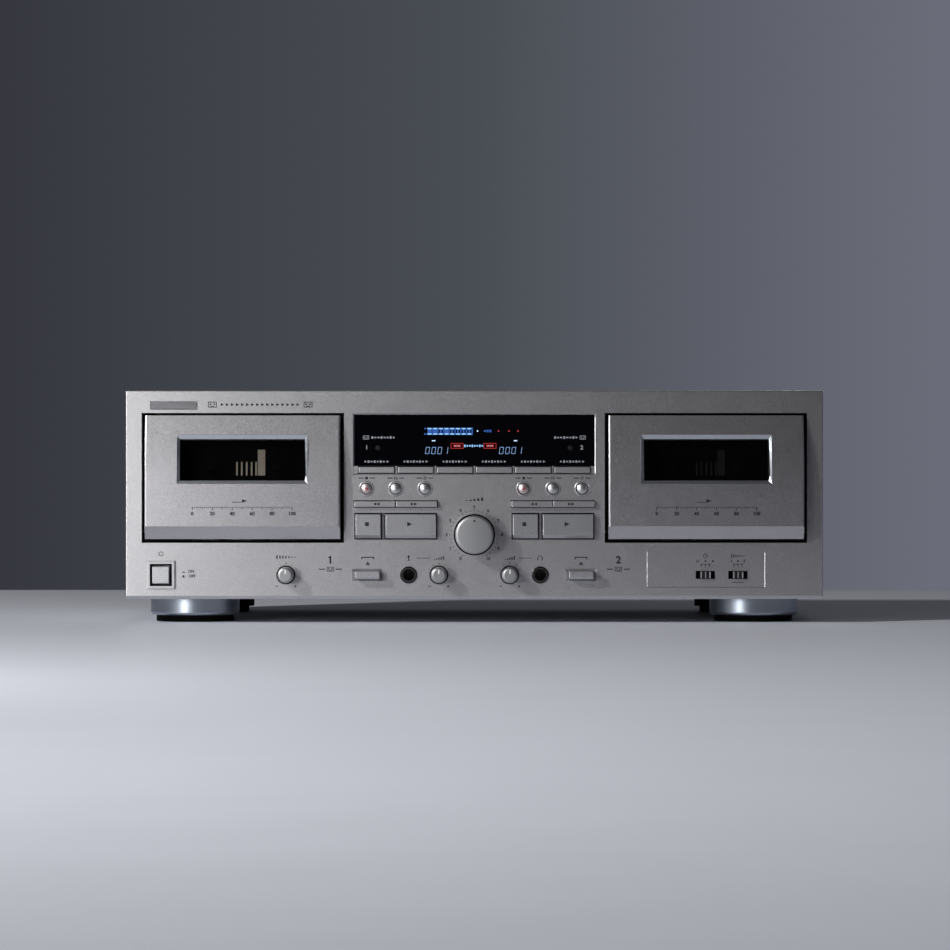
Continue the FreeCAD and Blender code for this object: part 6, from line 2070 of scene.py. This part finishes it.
@dataclass
class Studio:
    """The floor, the backdrop, the lights and the camera."""

    floor_half_width: float = 1.3
    floor_front: float = -2.2
    floor_back: float = 0.627
    floor_thickness: float = 10.0
    lamps: tuple[Lamp, ...] = (
        Lamp("key", (-0.84, -0.80, 0.62), (0.0, -0.1, 0.06), (0.08, 0.08), 12.5,
             reach=Reach.DECK),
        Lamp("softbox", (-0.56, -0.95, 0.10), (0.0, -0.13, 0.08), (0.2, 0.16), 2.0),
        Lamp("floor_key", (-1.68, -1.5, 1.18), (0.0, -0.1, 0.0), (0.2, 0.2), 44.0,
             reach=Reach.FLOOR),
        Lamp("floor_light", (-0.40, -1.5, 0.6), (-0.40, -1.5, 0.0), (0.4, 0.4), 1.8,
             reach=Reach.FLOOR),
        Lamp("back_fill", (0.9, 2.1, 1.3), (0.0, 0.1, 0.05), (1.2, 0.8), 14.0,
             reach=Reach.DECK),
    )
    camera_place: Point = (0.0, -2.7274, 0.0917)
    lens: float = 158.0
    shift: Span = (0.00068, 0.00105)
    seen: tuple[Colour, ...] = ((0.038, 0.040, 0.050), (0.067, 0.076, 0.088),
                                (0.145, 0.15, 0.19))
    ambient: float = 0.06
    front_share: float = 0.2
    glossy_floor_start: float = -0.28
    glossy_floor_end: float = -0.62
    glossy_floor_share: float = 0.12

    def build(self) -> None:
        """Sets up the studio."""
        self.floor()
        self.world()
        for lamp in self.lamps:
            lamp.build()
        self.camera()

    def floor(self) -> None:
        """Lays the pale floor, a thin slab."""
        bench = Bench("floor")
        middle = Vector((0.0, (self.floor_front + self.floor_back) / 2, 0.0))
        bench.plate(middle, 2 * self.floor_half_width / MM,
                    (self.floor_back - self.floor_front) / MM, Facing.UP)
        bench.pull(z=-self.floor_thickness)
        piece = bench.close()
        FLOOR_PALE.dress(piece)
        self.flag_floor(FLOOR_PALE.material())

    def flag_floor(self, floor: bpy.types.Material) -> None:
        """Keeps gloss from catching the floor far in front, as a black flag does in a studio.

        Args:
            floor: The floor's material.
        """
        graph = Graph(floor.node_tree)
        shader = floor.node_tree.nodes["Principled BSDF"]
        coordinates, parts = graph.add("TexCoord"), graph.add("SeparateXYZ")
        fade = graph.add("MapRange", {"From Min": self.glossy_floor_start,
                                      "From Max": self.glossy_floor_end,
                                      "To Max": 1.0 - self.glossy_floor_share})
        rays = graph.add("LightPath")
        graph.join(coordinates, "Object", parts, 0)
        graph.join(parts, "Y", fade, 0)
        hidden = graph.math("MULTIPLY", (fade, 0), (rays, "Is Glossy Ray"))
        shade = graph.add("Mix", data_type="RGBA")
        source = shader.inputs["Base Color"].links[0].from_socket
        floor.node_tree.links.new(source, shade.inputs["A"])
        shade.inputs["B"].default_value = (0.0, 0.0, 0.0, 1.0)
        graph.join(hidden, 0, shade, "Factor")
        floor.node_tree.links.new(shade.outputs["Result"], shader.inputs["Base Color"])

    def world(self) -> None:
        """Lights softly from all round, and shows a darker backdrop to the eye and to gloss."""
        world = bpy.data.worlds.new("studio")
        world.use_nodes = True
        bpy.context.scene.world = world
        graph = Graph(world.node_tree)
        plain = world.node_tree.nodes["Background"]
        plain.inputs["Color"].default_value = (1.0, 1.0, 1.0, 1.0)
        plain.inputs["Strength"].default_value = self.ambient
        shown = graph.add("Background", {"Strength": 1.0})
        coordinates = graph.add("TexCoord")
        parts = graph.add("SeparateXYZ")
        spread = graph.add("MapRange", {"From Min": -0.11, "From Max": 0.11})
        ramp = graph.add("ValToRGB")
        left, middle, right = self.seen
        ramp.color_ramp.elements[0].color = (*left, 1.0)
        ramp.color_ramp.elements[1].color = (*right, 1.0)
        ramp.color_ramp.elements.new(0.5).color = (*middle, 1.0)
        graph.join(coordinates, "Generated", parts, 0)
        graph.join(parts, "X", spread, 0)
        graph.join(spread, 0, ramp, 0)
        depth = graph.add("MapRange", {"From Min": -0.3, "From Max": 0.3,
                                       "To Min": self.front_share})
        graph.join(parts, "Y", depth, 0)
        graph.join(ramp, 0, shown, "Color")
        graph.join(depth, 0, shown, "Strength")
        rays = graph.add("LightPath")
        seen = graph.math("MAXIMUM", (rays, "Is Camera Ray"), (rays, "Is Glossy Ray"))
        seen = graph.math("MAXIMUM", (seen, 0), (rays, "Is Transmission Ray"))
        mix = graph.add("MixShader")
        graph.join(seen, 0, mix, 0)
        graph.join(plain, 0, mix, 1)
        graph.join(shown, 0, mix, 2)
        graph.join(mix, 0, world.node_tree.nodes["World Output"], "Surface")

    def camera(self) -> None:
        """Places the level camera in front of the deck."""
        lens = bpy.data.cameras.new("camera")
        lens.sensor_width = 36.0
        lens.lens = self.lens
        lens.shift_x, lens.shift_y = self.shift
        holder = bpy.data.objects.new("camera", lens)
        holder.location = self.camera_place
        holder.rotation_euler = (math.pi / 2, 0.0, 0.0)
        bpy.context.collection.objects.link(holder)
        bpy.context.scene.camera = holder


def main() -> None:
    """Builds the deck's looks in order."""
    logging.basicConfig(level=logging.INFO, format="%(message)s")
    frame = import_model()
    bpy.ops.object.select_all(action="DESELECT")
    bpy.context.scene.view_settings.view_transform = "Standard"
    Casework().build(frame)
    Nameplate().build()
    ShadowGaps().build()
    BrightTrim().build()
    FrontPrint().build()
    DisplayFace().build()
    CassetteDoor().build()
    LampGuide().build()
    KeySigns().build()
    KnobMarks().build()
    SlideSwitches().build()
    RearDress().build()
    Studio().build()


if __name__ == "__main__":
    main()
